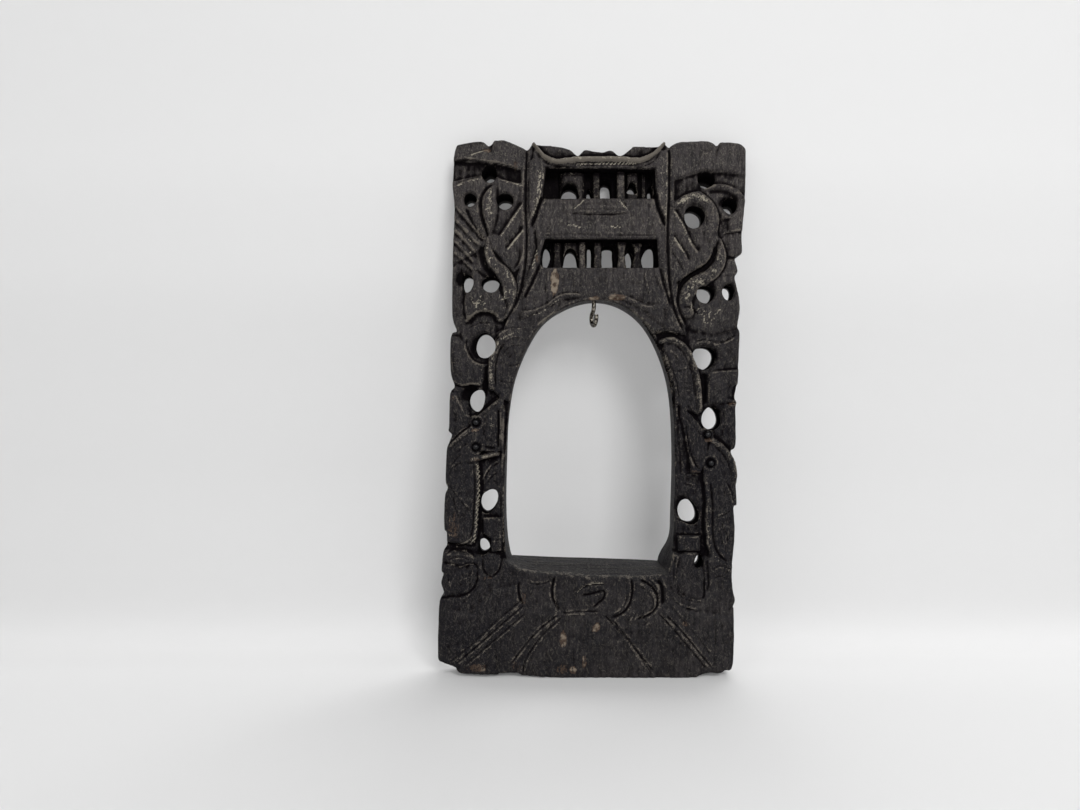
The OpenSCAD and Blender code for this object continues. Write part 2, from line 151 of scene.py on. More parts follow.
OPENINGS_LOWER = [
    [(-24.6, 206.2), (-22.7, 206.2), (-20.9, 211.5), (-21.4, 215.5), (-23.1, 217.6), (-24.4, 216.3), (-25.2, 211)],
    [(-14.4, 205.4), (-7.5, 205.4), (-7.2, 210), (-8.4, 213.8), (-10.9, 215.4), (-13.3, 213.8), (-14.4, 209.5)],
    [(-2.2, 205.6), (-0.2, 205.6), (0.1, 209), (-0.1, 216.6), (-2.1, 216.6), (-2.3, 209)],
    [(5.3, 205.4), (11, 205.4), (11.1, 213), (10.6, 216.8), (5.8, 216.8), (5.2, 213)],
    [(17.4, 205.6), (20, 205.6), (21, 209.5), (20.4, 213.4), (19, 215.4), (17.3, 213), (16.7, 209.5)],
    [(26.8, 205.6), (31.8, 205.6), (32.6, 211), (31.8, 217), (28.8, 217.2), (26.4, 213.6), (25.4, 209.5)],
]

# Levels of the relief, as the board's thickness left there, and how far a lattice is let into the wood round it
GROUND = 12.6
LATTICE_FLOOR = 6.0
THINNEST = 3.5
LET_IN = 0.7

# How far from an edge its rounding can reach, how far a hand-cut wall swells, and how uneven the sawn back is
EDGE_REACH = 4.0
WALL_SWELL = 0.18
BACK_HEWN = 0.12

# Tool marks over the whole face: scoops by width, height, depth and seed, then unevenness by depth, sizes and seed
SCOOPS = ((2.6, 8.0, 0.45, 11), (6.5, 3.6, 0.36, 12))
UNEVEN = ((0.20, 7, 11, 3), (0.18, 1.9, 4.2, 5), (0.13, 1.0, 1.6, 8))

# The carver's moves in the order they are made. Each is a tool's name, its sizes and its points.
CARVING = (
    # The base and the ground of the top corners
    ("plate", 16.6, 3, [(-90, -9), (90, -9), (90, 34), (68, 35), (58, 38), (50, 38), (42, 42), (37, 50), (36, 52),
     (24, 51.5), (-1, 51), (-14, 52.5), (-31, 54), (-40, 56), (-46, 50.5), (-54, 48.5), (-62, 38), (-90, 36)]),
    ("plate", 15.6, 3, [(-80, 34), (-60, 32), (-48, 44), (-38, 46), (-40, 58), (-80, 64)]),
    ("plate", 15.6, 3, [(36, 50), (40, 40), (48, 33), (80, 28), (80, 60), (56, 60), (40, 62)]),
    ("plate", 15.2, 1.2, [(-72, 272), (-33, 272), (-33.5, 256), (-37, 254), (-47, 256.7), (-60, 258), (-72, 258.5)]),
    ("plate", 12, 1, [(-72, 258), (-60, 257.3), (-47, 256), (-37, 253.5), (-33.5, 251.5), (-33.2, 246.5), (-41, 248.5),
     (-48, 250.7), (-56, 251.5), (-61, 250.5), (-72, 247.5)]),
    ("plate", 14, 1.1, [(-73, 247.5), (-65, 249), (-61, 249.8), (-55.7, 250.7), (-47.7, 250.2), (-44.7, 248.8),
     (-41, 248), (-36, 247.2), (-33, 245.8), (-34, 236), (-34.5, 222), (-36, 205), (-40, 202), (-48, 212), (-54, 216),
     (-60, 212), (-73, 205)]),
    ("plate", 14.7, 1.4, [(38.5, 272), (80, 272), (80, 252), (73, 251.5), (61, 252.5), (55, 253), (47, 250),
     (38.5, 247)]),
    ("plate", 12.7, 2.4, [(38.5, 248), (47, 250.5), (55, 253), (62, 252.5), (80, 252), (80, 243), (74, 241.5),
     (70, 245), (61, 247), (56, 246), (52, 244.5), (47, 242), (38.5, 238)]),
    ("plate", 14.8, 1.2, [(38.8, 237.5), (44, 239.6), (48.7, 241.8), (53.6, 243.4), (57.5, 239.5), (61, 235),
     (63.2, 230), (63.4, 220), (61, 213), (57, 207), (52, 204), (46, 200), (40, 196), (38.8, 226)]),
    ("plate", 14, 1.2, [(54.5, 243.5), (61, 246.3), (66, 246.4), (70, 245), (74.5, 242), (80, 236), (80, 224),
     (70, 222), (64.5, 220), (63.6, 231), (60, 237)]),
    ("plate", 13.2, 1.2, [(64.5, 219.5), (68, 222), (75, 223), (80, 222), (80, 211), (71, 210), (65, 211)]),
    ("plate", 14.7, 1, [(-36, 268), (-27, 266), (-27, 236), (-29, 222), (-27, 205), (-33, 174), (-45, 171),
     (-36.5, 205), (-35, 222), (-35.5, 240)]),
    ("plate", 14.7, 1, [(34, 268), (41, 268), (41, 240), (41, 205), (47, 171), (33, 174), (34, 205), (34, 240)]),
    # The pavilion
    ("plate", 15.4, 1, [(-24, 258), (31, 258), (33, 240), (35.5, 226), (36.5, 205), (38, 184), (30, 184), (2, 190),
     (-22, 187), (-34, 180), (-31, 200), (-27.5, 214), (-29, 226), (-26, 239)]),
    ("plate", 13.8, 0.8, [(-33, 275), (38, 275), (36, 268), (31, 263.5), (26, 260), (15, 259.3), (-15, 258.6),
     (-22, 260), (-26, 263.5), (-30, 267)]),
    ("plate", 16.2, 0.8, [(-29, 264), (-24, 259), (-14, 257), (15, 257.2), (27, 258), (33, 263), (36.5, 263),
     (37.4, 254), (31.4, 254.2), (-22.8, 254.8), (-30.5, 255)]),
    ("plate", 16.6, 0.8, [(-31.2, 258), (-23.6, 256), (-24.4, 247), (-25.6, 241), (-28.4, 233), (-30.8, 225.6),
     (-31.6, 238)]),
    ("plate", 16.8, 0.8, [(31.4, 256), (37.6, 262), (37.8, 243), (36.7, 226), (33.6, 234), (31.6, 244)]),
    ("groove", 1.2, 2.4, [(-24.6, 240.6), (-27, 235), (-29.4, 228.6), (-31, 224.8)]),
    ("groove", 1.2, 2.4, [(31, 243), (32.4, 236), (34.6, 230), (36.6, 225)]),
    ("plate", 16.5, 1, [(-26.5, 219), (-23.9, 218.7), (-25.9, 211), (-27.2, 206), (-31.5, 196), (-35, 189),
     (-34.4, 194), (-31.4, 203), (-28.2, 212)]),
    ("plate", 16, 0.9, [(33.3, 219.5), (36, 220), (36.7, 208), (37.6, 196), (38.6, 190), (35.8, 200), (33.9, 210)]),
    ("groove", 0.9, 1.8, [(-26, 207), (-28, 202), (-31.2, 195), (-34.8, 188.5)]),
    ("groove", 0.9, 1.8, [(33.4, 206), (35, 199), (37, 192.5), (39.5, 185)]),
    ("band", 18.3, 1.45, 0.4, [(-29.3, 266), (-26.2, 262), (-23.4, 259.3), (-17.8, 257.2), (-6.7, 258.2), (10, 258.5),
     (21.5, 257.7), (26.7, 258.9), (31.7, 262), (35.5, 266.4)], [0.5, 0.8, 1, 1, 0.95, 0.95, 1, 1, 0.8, 0.5], 1.1),
    ("chalk", 2, 0.5, [(-20.8, 257.8), (-6.7, 258.6), (10, 258.9), (23.5, 258.4)]),
    ("cut", 0.8, 0.5, [(-24.6, 257.4), (-19.5, 255.2), (-12, 254.9), (0, 255.4), (16, 255.6), (24, 254.9),
     (29.6, 256.8), (33.4, 260.8)]),
    ("chalk", 2.4, 0.36, [(-26.6, 255), (-27, 247), (-28.4, 239), (-30.4, 229)]),
    ("chalk", 0.6, 0.9, [(-24.4, 253), (-25.2, 246), (-27, 238.6), (-30.2, 229.6)]),
    ("chalk", 2.4, 0.34, [(34.4, 257), (34.6, 248), (35.4, 239), (36.4, 229)]),
    ("chalk", 0.6, 0.8, [(36.9, 258), (36.9, 248), (37, 238), (36.8, 230)]),
    ("plate", 16, 0.7, [(-4.4, 239), (13.3, 239), (18.3, 232), (-10, 232)]),
    ("cut", 0.7, 0.4, [(-6.8, 236.4), (14.4, 236.4)]),
    ("cut", 0.7, 0.4, [(-8.6, 233.8), (16.6, 233.8)]),
    ("cut", 1.1, 0.5, [(-10.4, 231.6), (-3, 231.2), (8, 231.2), (18.6, 231.5)]),
    ("chalk", 0.6, 1, [(-4, 238.8), (-5.6, 236.8), (-7.4, 235.4), (-9.6, 233.4)]),
    ("chalk", 0.6, 1, [(12.6, 238.9), (15.2, 235.8), (18, 232.6)]),
    ("cut", 0.4, 0.5, [(19.4, 233.6), (19.6, 221.6)]),
    ("cut", 0.5, 0.6, [(-24.4, 220.8), (-10, 221.2), (10, 221), (32, 220.6)]),
    ("cut", 0.9, 0.7, [(-22.9, 203.6), (-23.3, 196), (-24, 190)]),
    ("cut", 0.6, 0.6, [(-9.8, 203.6), (-9.6, 197), (-9, 193.5)]),
    ("cut", 0.6, 0.6, [(15.4, 203.6), (15.6, 198)]),
    ("cut", 0.8, 0.7, [(25.6, 203.6), (26.2, 196), (28.6, 190)]),
    ("cut", 0.6, 0.7, [(30.4, 203), (33, 196), (36, 190)]),
    ("plate", 16.2, 1.6, [(-36, 182.6), (-29, 183.6), (-22.6, 186.6), (-17.6, 190.2), (-13.2, 191.8), (-6.7, 191.6),
     (-2.2, 190), (6, 190), (10, 191.6), (16.7, 190.6), (21, 188.6), (26.6, 186), (35, 186), (36, 176), (26, 178),
     (1.5, 188), (-26, 178), (-34, 170)]),
    ("cut", 0.4, 0.9, [(-2.2, 190.2), (-6.7, 191.9), (-13.3, 192.2), (-17.8, 190.8), (-23.3, 186.9), (-29, 184.2),
     (-35.6, 183.3)]),
    ("cut", 0.4, 0.9, [(32.8, 186.1), (26.7, 186.2), (21, 189), (16.7, 190.8), (10, 191.9), (6.1, 190.2)]),
    ("chalk", 0.6, 0.6, [(-34, 180.4), (-26, 182), (-20, 186.6), (-14, 189.6)]),
    # Lines down both sides of the pavilion
    ("groove", 0.8, 1.9, [(-32.8, 264.5), (-33.4, 250), (-33.6, 236), (-33, 222), (-33.4, 208), (-35.4, 196),
     (-38, 187.6), (-42.5, 180), (-45.5, 175)]),
    ("groove", 0.8, 1.9, [(38.3, 265), (38.2, 250), (38, 236), (37.8, 224), (38, 210), (38.6, 198), (40, 188),
     (42.6, 180), (46, 173)]),
    ("cut", 1, 0.6, [(46.8, 170.8), (44, 175.6), (41.6, 180.6), (39.6, 186)]),
    # Left tree
    ("bevel", 15.2, 0, 0.32, [(-73, 274), (-49.5, 274), (-49.7, 262.4), (-54.2, 262.8), (-62, 260.3), (-73, 259.5)]),
    ("bevel", 15.2, 0, 0.12, [(-49.7, 274), (-33, 274), (-33, 258), (-49.5, 260)]),
    ("ridge", 0.9, 0.8, [(-61.4, 260.6), (-55.2, 262.5), (-53.5, 263.3), (-51, 262.3)]),
    ("chalk", 0.8, 1, [(-61.4, 260.7), (-56.8, 262.3), (-52.7, 263.6), (-51, 262.6)]),
    ("cut", 0.8, 0.9, [(-68, 258.6), (-60.2, 258.4), (-52.7, 257.2), (-48.5, 256.6), (-44.3, 255.4), (-40.2, 254.6),
     (-36, 252.6)]),
    ("cut", 0.9, 1, [(-36, 247.3), (-40.6, 248.3), (-44.3, 249.4), (-47.3, 250.2)]),
    ("cut", 0.9, 1, [(-55.2, 250.6), (-60.2, 249.6), (-64.3, 248.3), (-69.4, 246.6)]),
    ("chalk", 0.5, 0.8, [(-68.5, 245.4), (-64.3, 247), (-60.2, 248.2), (-55.6, 249.2)]),
    ("chalk", 0.5, 0.8, [(-46.8, 248.8), (-43, 247.8), (-39, 246.8), (-34, 245.2)]),
    ("plate", 14.4, 1.6, [(-38.9, 269), (-33.8, 267), (-33.6, 254), (-36.6, 254.2), (-39.6, 256)]),
    ("groove", 0.9, 1.9, [(-49.4, 246.8), (-53.4, 243.9), (-55.8, 239.6), (-56.1, 235), (-55.2, 229.5), (-53.5, 224.5),
     (-52, 219.6)]),
    ("pillow", 16.2, 2.4, 1.8, [(-48.5, 246.4), (-52.7, 243.3), (-54.8, 239.6), (-55.2, 235), (-54.5, 230),
     (-53.1, 225), (-51.5, 220.6), (-49.6, 224), (-48.2, 229), (-47.4, 234.5), (-47.9, 240.5)]),
    ("chalk", 3.4, 0.5, [(-50.2, 245), (-51.4, 240), (-51.4, 234), (-51, 226)]),
    ("pillow", 15, 2.6, 1.8, [(-62, 234), (-59.4, 236.4), (-56.9, 236.2), (-56, 231), (-54.2, 225), (-52.6, 220.6),
     (-56, 223.4), (-59.8, 228.5)]),
    ("groove", 0.8, 1.5, [(-63.6, 235.4), (-62.2, 231.6), (-59.9, 227), (-57, 222.4), (-53.2, 218.8)]),
    ("ridge", 0.7, 0.6, [(-66, 238.6), (-64.6, 233.6), (-61.8, 229), (-58.4, 224), (-55.4, 220.4)]),
    ("step", 1.5, 4, [(-53.4, 217.8), (-57.4, 221.6), (-62, 227), (-65.8, 231.4), (-70, 236.6)]),
    ("step", 1.5, 3.6, [(-55.5, 214.2), (-60.3, 218.8), (-64.8, 224), (-70.5, 230)]),
    ("step", 1.4, 3.6, [(-57.2, 210.2), (-61.7, 215), (-65.6, 219.4), (-70.5, 224.4)]),
    ("step", 1.4, 3.6, [(-58.6, 206.2), (-62.4, 210.2), (-66, 214.2), (-70.5, 218.6)]),
    ("step", 1.2, 3.6, [(-59.5, 202.5), (-62.8, 206), (-66.3, 209.5), (-70.5, 212.8)]),
    ("chalk", 0.7, 1, [(-62.6, 219.4), (-60.6, 217.6)]),
    ("chalk", 0.7, 0.9, [(-61.8, 213.2), (-60.6, 211.6)]),
    ("step", 1.7, 4.6, [(-47.6, 219.4), (-43.4, 225.6), (-39, 232), (-34.3, 238.3)]),
    ("chalk", 0.5, 0.9, [(-46.2, 219.8), (-42, 226), (-37.6, 232.4), (-34.4, 237)]),
    ("step", 1.6, 4.6, [(-43.9, 213.2), (-38.8, 219.6), (-33.9, 225.7)]),
    ("chalk", 0.6, 1, [(-42.9, 213.4), (-38, 219.4), (-34, 224.4)]),
    ("step", 1.2, 3.4, [(-39.6, 202.6), (-36.6, 208), (-34.5, 215)]),
    ("groove", 1.2, 2, [(-55.6, 217), (-56, 211.6), (-54.6, 206.4), (-51.8, 202.4), (-48.6, 199.6)]),
    ("band", 15.5, 3.1, 0.6, [(-52.4, 219.5), (-52, 213), (-49.5, 207), (-45.3, 202.9), (-42.4, 198), (-41.3, 193),
     (-42, 186.5), (-46, 180)], [0.2, 0.6, 0.95, 1.1, 1.15, 1.1, 1, 0.8]),
    ("cut", 0.8, 0.9, [(-54.6, 214.4), (-53.6, 208.4), (-50.4, 203.4), (-47, 200)]),
    ("cut", 1, 0.9, [(-43.3, 178.1), (-38.9, 186.9), (-37.7, 193.8), (-38.2, 198.3), (-40.6, 203.3), (-44.9, 206.7),
     (-48, 210), (-50.4, 216)]),
    ("chalk", 0.5, 0.7, [(-40.2, 187.2), (-39.2, 193.8), (-39.8, 197.8), (-42, 202.2), (-46, 205.6)]),
    ("pillow", 14.6, 2, 1, [(-60, 203), (-55, 200.5), (-49, 198.5), (-46, 192), (-43, 188), (-42.5, 183.5), (-45, 180),
     (-50, 182), (-55, 182.8), (-59, 181), (-63, 179), (-64, 188)]),
    ("step", 1.4, 3.4, [(-46, 178.5), (-50.2, 181.6), (-54.2, 182.6), (-58.2, 181.6), (-61.7, 178.5), (-65, 176.5)]),
    ("cut", 0.5, 0.7, [(-46.8, 174.6), (-50.2, 176.8), (-54.2, 177.4), (-59.2, 176.2), (-63.6, 173.6)]),
    ("cut", 0.8, 0.6, [(-66, 206), (-65, 198), (-64.6, 188), (-63.6, 178)]),
    ("dimple", 3, (-65.4, 199.6), (5, 6.2)),
    ("dimple", 1.8, (-52, 198.2), (5.8, 5.4)),
    # Right tree
    ("bevel", 15, 0, 0.16, [(38.5, 274), (80, 274), (80, 262), (61.5, 262.5), (38.5, 262)]),
    ("cut", 0.6, 0.7, [(60.9, 264.6), (58.8, 263), (55.8, 263), (53.6, 264.8)]),
    ("groove", 0.9, 0.8, [(64.5, 267), (62.4, 262.8), (61.6, 258.6)]),
    ("chalk", 0.7, 0.6, [(66.3, 264.6), (63.3, 262), (62.5, 259.6)]),
    ("bevel", 14.6, 0.26, 0, [(71, 274), (80, 274), (80, 242), (71.4, 244)]),
    ("cut", 0.9, 0.9, [(53.3, 243.1), (46.7, 240.8), (42.6, 238.6), (39.4, 236.6)]),
    ("band", 15.8, 3.6, 1.2, [(41.4, 234.8), (44.4, 237.2), (49, 239.4), (53.6, 239.6), (57.6, 236.6), (60.2, 231.5),
     (60.2, 225), (57.6, 219.6)], [0.5, 0.7, 0.8, 0.95, 1, 0.95, 0.9, 0.6]),
    ("chalk", 3.2, 0.6, [(42, 236), (48.6, 239.6), (54.4, 239.4), (57.6, 236)]),
    ("groove", 0.8, 1.7, [(54.2, 243.4), (58.3, 240), (62, 235.6), (63.9, 230), (63.4, 225), (62.9, 219.2)]),
    ("groove", 1.7, 1.5, [(57.4, 242.4), (62, 243.2), (67, 242.6), (71.2, 240.4), (73.2, 237)]),
    ("ridge", 0.9, 1, [(54.2, 243.9), (57.5, 244.4), (60.8, 246.2), (64.6, 246.3), (68.8, 245.5), (72, 244.2),
     (74.6, 241.7), (76.6, 237.6)]),
    ("ridge", 0.7, 0.6, [(66, 243), (69, 241.4), (71.8, 238.2)]),
    ("dimple", 3.4, (67.6, 237.6), (6, 5.6)),
    ("ridge", 0.8, 1, [(65.4, 231.8), (67.9, 229.7), (71.4, 230.8)]),
    ("plate", 12.8, 1, [(64.4, 229.4), (68.6, 229.4), (68.8, 222.4), (64.6, 220.6)]),
    ("cut", 0.9, 1, [(64, 219.2), (66.7, 221.5), (70, 222.3), (76, 223.3)]),
    ("groove", 0.9, 1.5, [(65.5, 210.6), (70.8, 210), (73.6, 210.4)]),
    ("cut", 0.7, 0.6, [(63.6, 199.8), (67.3, 201), (73, 201.4)]),
    ("step", 1.6, 3.6, [(39.8, 235.6), (45.2, 227.7), (47.8, 222), (50.6, 216), (54, 211.6)]),
    ("chalk", 0.6, 1, [(40.6, 233.4), (44.6, 227), (47, 221.6), (50, 215)]),
    ("step", 1.3, 3.4, [(39.8, 222), (43.2, 216.9), (46.9, 211.4), (49, 207)]),
    ("chalk", 0.8, 1, [(40.4, 220.4), (43.4, 215.9), (46.4, 211.4)]),
    ("cut", 0.9, 0.7, [(39.2, 214), (43.2, 207.4), (46.4, 201.4)]),
    ("plate", 13.6, 2, [(64, 209), (71, 209), (73, 203), (71.4, 199), (74, 190), (75, 176), (60, 172), (50, 174),
     (45, 181), (45.5, 190), (53, 195), (61, 200), (65, 206)]),
    ("groove", 1.1, 2.2, [(61.2, 216), (60.4, 210), (57, 205.4), (52, 202.6), (47.4, 199.4), (44.2, 195), (42.8, 189.6),
     (43, 184)]),
    ("band", 15.8, 2.9, 0.7, [(63.6, 219), (64.6, 213), (64, 207.6), (61.2, 203.2), (57, 199.6), (51.8, 196.6),
     (47.8, 192.4), (46.6, 187.2), (47.8, 182.4)], [0.2, 0.7, 0.95, 1.05, 1.1, 1.25, 1.3, 1.15, 1]),
    ("chalk", 2.6, 0.42, [(64.6, 213), (61.2, 203.2), (57, 199.6), (51.8, 196.6), (47.8, 192.4), (46.6, 187.2)]),
    ("cut", 1, 0.9, [(57.4, 196.4), (62, 199), (65.4, 203.4), (67.2, 209), (66.7, 214), (64.4, 219)]),
    ("groove", 0.7, 1.2, [(44.2, 184.6), (48, 185), (51, 183.6), (53.6, 180.6)]),
    ("groove", 0.9, 1.6, [(43.2, 186.6), (44.2, 181.5), (46.8, 176.5)]),
    ("dimple", 2.6, (58.2, 193.4), (6.2, 5.8)),
    ("dimple", 2.4, (69.2, 193.8), (5, 5.4)),
    # Left side, from the large hole down to the foot
    ("dimple", 4.2, (-55.6, 165.2), (8.6, 9)),
    ("plate", 14.3, 1, [(-74, 170.5), (-67, 170), (-63.6, 166), (-62, 161), (-59.6, 158), (-55.6, 156.6),
     (-52.6, 156.6), (-53, 150), (-55.6, 145.6), (-60.5, 146), (-66, 145.6), (-74, 148.5)]),
    ("cut", 0.9, 0.3, [(-63.4, 170), (-62.6, 164), (-60, 159.4), (-56.6, 157.2), (-51.6, 156.6)], 0.8),
    ("cut", 0.5, 0.6, [(-68.9, 167), (-69.6, 160), (-69, 152.4), (-66, 146.4)], 0.5),
    ("cut", 0.9, 0.9, [(-71, 148.4), (-66, 145.2), (-60.6, 145.8), (-55.4, 145)]),
    ("groove", 1.7, 2.6, [(-52.9, 156.4), (-53.3, 150), (-54.2, 144), (-53.2, 139.6)]),
    ("plate", 14.9, 1, [(-44.7, 172.5), (-42, 174.2), (-38.5, 174.7), (-34.5, 173.2), (-29, 170.5), (-32, 163),
     (-36, 150), (-40, 142), (-41, 137), (-46, 139.5), (-50.6, 144), (-50, 154), (-48, 163.5)]),
    ("band", 16.1, 1.6, 0.6, [(-34, 172.4), (-40, 171.6), (-44.2, 169.6), (-47.8, 165.6), (-50, 160), (-50.8, 153),
     (-50.4, 145)]),
    ("chalk", 1.6, 0.5, [(-36, 172.3), (-40, 171.6), (-44.2, 169.6), (-47.8, 165.6), (-50, 160), (-50.8, 153),
     (-50.4, 145)]),
    ("cut", 0.7, 0.3, [(-35, 169.6), (-40, 169.2), (-43.4, 167.2), (-46.2, 163.4), (-48, 157.6), (-48.6, 151),
     (-48.2, 145)], 0.7),
    ("cut", 0.7, 0.8, [(-30.6, 171.4), (-34.3, 174.2), (-41, 174.8), (-47.3, 171.6), (-51, 166.6)], 0.3),
    ("cut", 0.6, 0.6, [(-45.2, 160.4), (-43, 163.8), (-39.2, 165.8), (-34.2, 165.4)], 0.3),
    ("cut", 0.5, 0.6, [(-42.6, 157.8), (-40.8, 160.8), (-37.4, 162.2), (-34.6, 161.8)]),
    ("cut", 0.8, 0.5, [(-44.6, 156.4), (-40.4, 155.6), (-35.4, 157)], 0.4),
    ("cut", 0.7, 0.5, [(-48.2, 149.2), (-44.6, 147.6), (-38.6, 147.2)], 0.4),
    ("dimple", 4.4, (-60.8, 141.4), (6.6, 6.2)),
    ("plate", 13.7, 0.9, [(-75, 142.5), (-68.5, 142), (-64.8, 136.3), (-61.6, 131.6), (-61, 126.5), (-66, 122),
     (-75, 114)]),
    ("cut", 0.6, 0.3, [(-68.6, 141.8), (-65.6, 136.6), (-62.8, 131.8), (-58.6, 130.4)], 0.9),
    ("plate", 14.9, 1, [(-44.2, 141), (-49, 137.2), (-53.6, 133.6), (-58.4, 129.8), (-58, 124), (-56.4, 113),
     (-50, 112.6), (-45, 113), (-44.2, 126)]),
    ("ridge", 0.7, 0.9, [(-44.2, 141.4), (-49.2, 137.2), (-54, 133.2), (-60, 128.4)]),
    ("cut", 0.9, 0.3, [(-44.8, 143), (-50, 138.8), (-55, 134.8), (-60.4, 130.4)], 0.3),
    ("cut", 0.6, 0.6, [(-46.4, 137.4), (-50, 134.4), (-53.6, 131.6), (-56.6, 129.4)], 0.4),
    ("pillow", 15.7, 1.3, 1, [(-54, 131.4), (-51.4, 133), (-48.6, 131), (-48.4, 126), (-49.4, 121), (-51.6, 118.2),
     (-53.2, 122), (-53, 127)]),
    ("chalk", 1.9, 0.42, [(-51, 132), (-50.2, 127), (-51, 120)]),
    ("cut", 0.7, 0.5, [(-54.6, 129), (-54.4, 123), (-53, 117.4)]),
    ("groove", 0.7, 3, [(-47.2, 134.4), (-47, 126), (-47.2, 119), (-47, 114)]),
    ("groove", 1, 1.6, [(-54.8, 115.6), (-51.2, 114.6), (-47.6, 114.4)]),
    ("cut", 0.4, 0.6, [(-44.6, 138), (-45.2, 128), (-45.6, 118), (-45.8, 106)], 0.5),
    ("plate", 14.9, 1.2, [(-75, 113), (-71, 117.4), (-66, 121.8), (-60.6, 125.8), (-57, 124), (-56.4, 112),
     (-57.3, 104), (-57.6, 70), (-60.5, 66), (-76, 68)]),
    ("cut", 0.9, 0.9, [(-72.8, 115), (-69, 119.2), (-65, 122.7), (-60.4, 125.8)], 0.9),
    ("cut", 0.6, 0.8, [(-72, 112.4), (-68.4, 116.4), (-64, 120), (-59.4, 123)], 0.4),
    ("cut", 0.5, 0.5, [(-68.6, 111), (-64.6, 115.4), (-60.8, 117.6)], 0.4),
    ("cut", 0.5, 0.5, [(-71.6, 104), (-67.8, 109.4), (-63.8, 112.4)], 0.3),
    ("band", 15.8, 1.2, 0.5, [(-62, 108.6), (-57.5, 109.2), (-53, 110.6), (-48, 111.6)]),
    ("chalk", 1.3, 0.5, [(-62, 108.6), (-57.5, 109.2), (-53, 110.6), (-48, 111.6)]),
    ("cut", 0.7, 0.6, [(-62.6, 106.8), (-57.6, 107.4), (-53, 108.8), (-47.6, 109.6)]),
    ("cut", 0.7, 0.8, [(-54.6, 96.8), (-52.6, 102), (-49.6, 105.4), (-45.8, 107.4)], 0.3),
    ("cut", 0.6, 0.7, [(-53.2, 95.8), (-50, 100.4), (-46, 103)], 0.3),
    ("cut", 0.5, 0.5, [(-72.6, 99), (-70, 104.4), (-65, 107.6)], 0.3),
    ("cut", 0.5, 0.7, [(-71.9, 97), (-68.4, 91), (-65, 86.7), (-59.8, 81.7)], 0.2),
    ("cut", 0.6, 0.6, [(-70.6, 92), (-68.4, 85), (-66.4, 78.4)]),
    ("groove", 0.7, 1.2, [(-59.3, 107), (-58.8, 96), (-59.2, 85), (-60, 74), (-61.6, 68.5)]),
    ("groove", 0.7, 1.2, [(-55.8, 107), (-55.2, 96), (-55.8, 84), (-56.8, 73), (-58, 66.5)]),
    ("cut", 0.9, 0.9, [(-73.4, 67.8), (-70, 65.8), (-66, 65.4), (-61.4, 67.6), (-58.6, 71)], 0.5),
    ("cut", 1.1, 0.4, [(-74, 61), (-70, 63.4), (-65, 63.8), (-61, 62.2), (-57.6, 59)], 0.9),
    ("cut", 0.8, 0.4, [(-73.6, 58), (-69, 60), (-64.6, 60.2), (-60.4, 58)], 0.8),
    ("pillow", 14.9, 2.2, 1.4, [(-77, 57), (-70, 56.4), (-65, 55.4), (-60, 57), (-57.2, 55), (-57.4, 48), (-59, 44),
     (-64, 41), (-70, 40), (-79, 40.5)]),
    ("cut", 0.8, 0.3, [(-74.8, 56.4), (-70.6, 57.2), (-66, 56), (-61.4, 57.4), (-57, 56)], 0.8),
    ("cut", 0.6, 0.7, [(-61.4, 54.6), (-60.8, 52.4), (-62.4, 50.4), (-64.8, 50.8), (-65.6, 53)]),
    ("cut", 0.6, 0.7, [(-66.4, 51), (-66.6, 47), (-63.8, 45)]),
    ("cut", 0.6, 0.7, [(-71.6, 50), (-72.6, 46.4), (-70.4, 43.8)]),
    ("cut", 0.6, 0.5, [(-69.4, 39.6), (-63.7, 41), (-60.2, 44), (-58, 47.4), (-57, 52)], 0.4),
    ("cut", 0.5, 0.5, [(-65.8, 36.4), (-61.7, 40), (-58.6, 43.6), (-55.6, 46.8)], 0.5),
    ("plate", 14.7, 0.8, [(-54.4, 79.6), (-45.2, 79.2), (-45.2, 63), (-50.5, 62.4), (-50.6, 69), (-54.4, 71.5)]),
    ("cut", 1, 0.2, [(-55.6, 80.8), (-50.6, 80.2), (-45.4, 80.2)], 0.9),
    ("cut", 0.5, 0.6, [(-50.6, 68.6), (-45.6, 68.8)], 0.5),
    ("cut", 0.7, 0.8, [(-45.4, 97), (-45.8, 88), (-45.6, 76), (-45.2, 62)], 0.4),
    ("pillow", 15, 2.2, 1.5, [(-54.2, 61.6), (-50, 62), (-46.4, 60.4), (-46, 56), (-47.4, 52.4), (-51, 50.4),
     (-54.4, 52.4), (-55, 57)]),
    ("cut", 1, 0.4, [(-45.4, 62.6), (-45.4, 57.5), (-46.9, 52.9), (-50, 50.2), (-54, 50.2)], 0.6),
    # Right side
    ("cut", 0.8, 0.4, [(51, 167.4), (56.3, 168.8), (63, 167.4), (67.2, 168.2), (72.6, 171.6)], 0.9),
    ("cut", 0.7, 0.3, [(30.8, 172.3), (35.5, 174), (41.3, 173.2), (45, 171)], 0.9),
    ("cut", 0.6, 0.3, [(33, 170.4), (37, 171), (41.6, 170.4), (45.4, 168)], 0.5),
    ("plate", 14.7, 1, [(35.4, 168), (43, 168.2), (47.6, 164.6), (50.8, 157), (53, 148), (54, 138), (53.4, 131),
     (46, 134), (42, 137), (41.6, 143), (39, 152), (36.2, 160)]),
    ("dimple", 4.4, (57.6, 160.2), (9.2, 7.8)),
    ("band", 16.1, 1.2, 0.5, [(34.7, 167.7), (39.7, 168.9), (44.7, 166.4), (48.8, 161.4), (52, 152.4), (53.4, 143.3),
     (53.8, 133.6)]),
    ("chalk", 1.2, 0.48, [(34.7, 167.7), (39.7, 168.9), (44.7, 166.4), (48.8, 161.4), (52, 152.4), (53.4, 143.3),
     (53.8, 135)]),
    ("cut", 0.6, 0.7, [(36, 165.8), (40, 166.4), (43.6, 164), (47, 159), (49.8, 151), (51, 143), (51.2, 136)], 0.3),
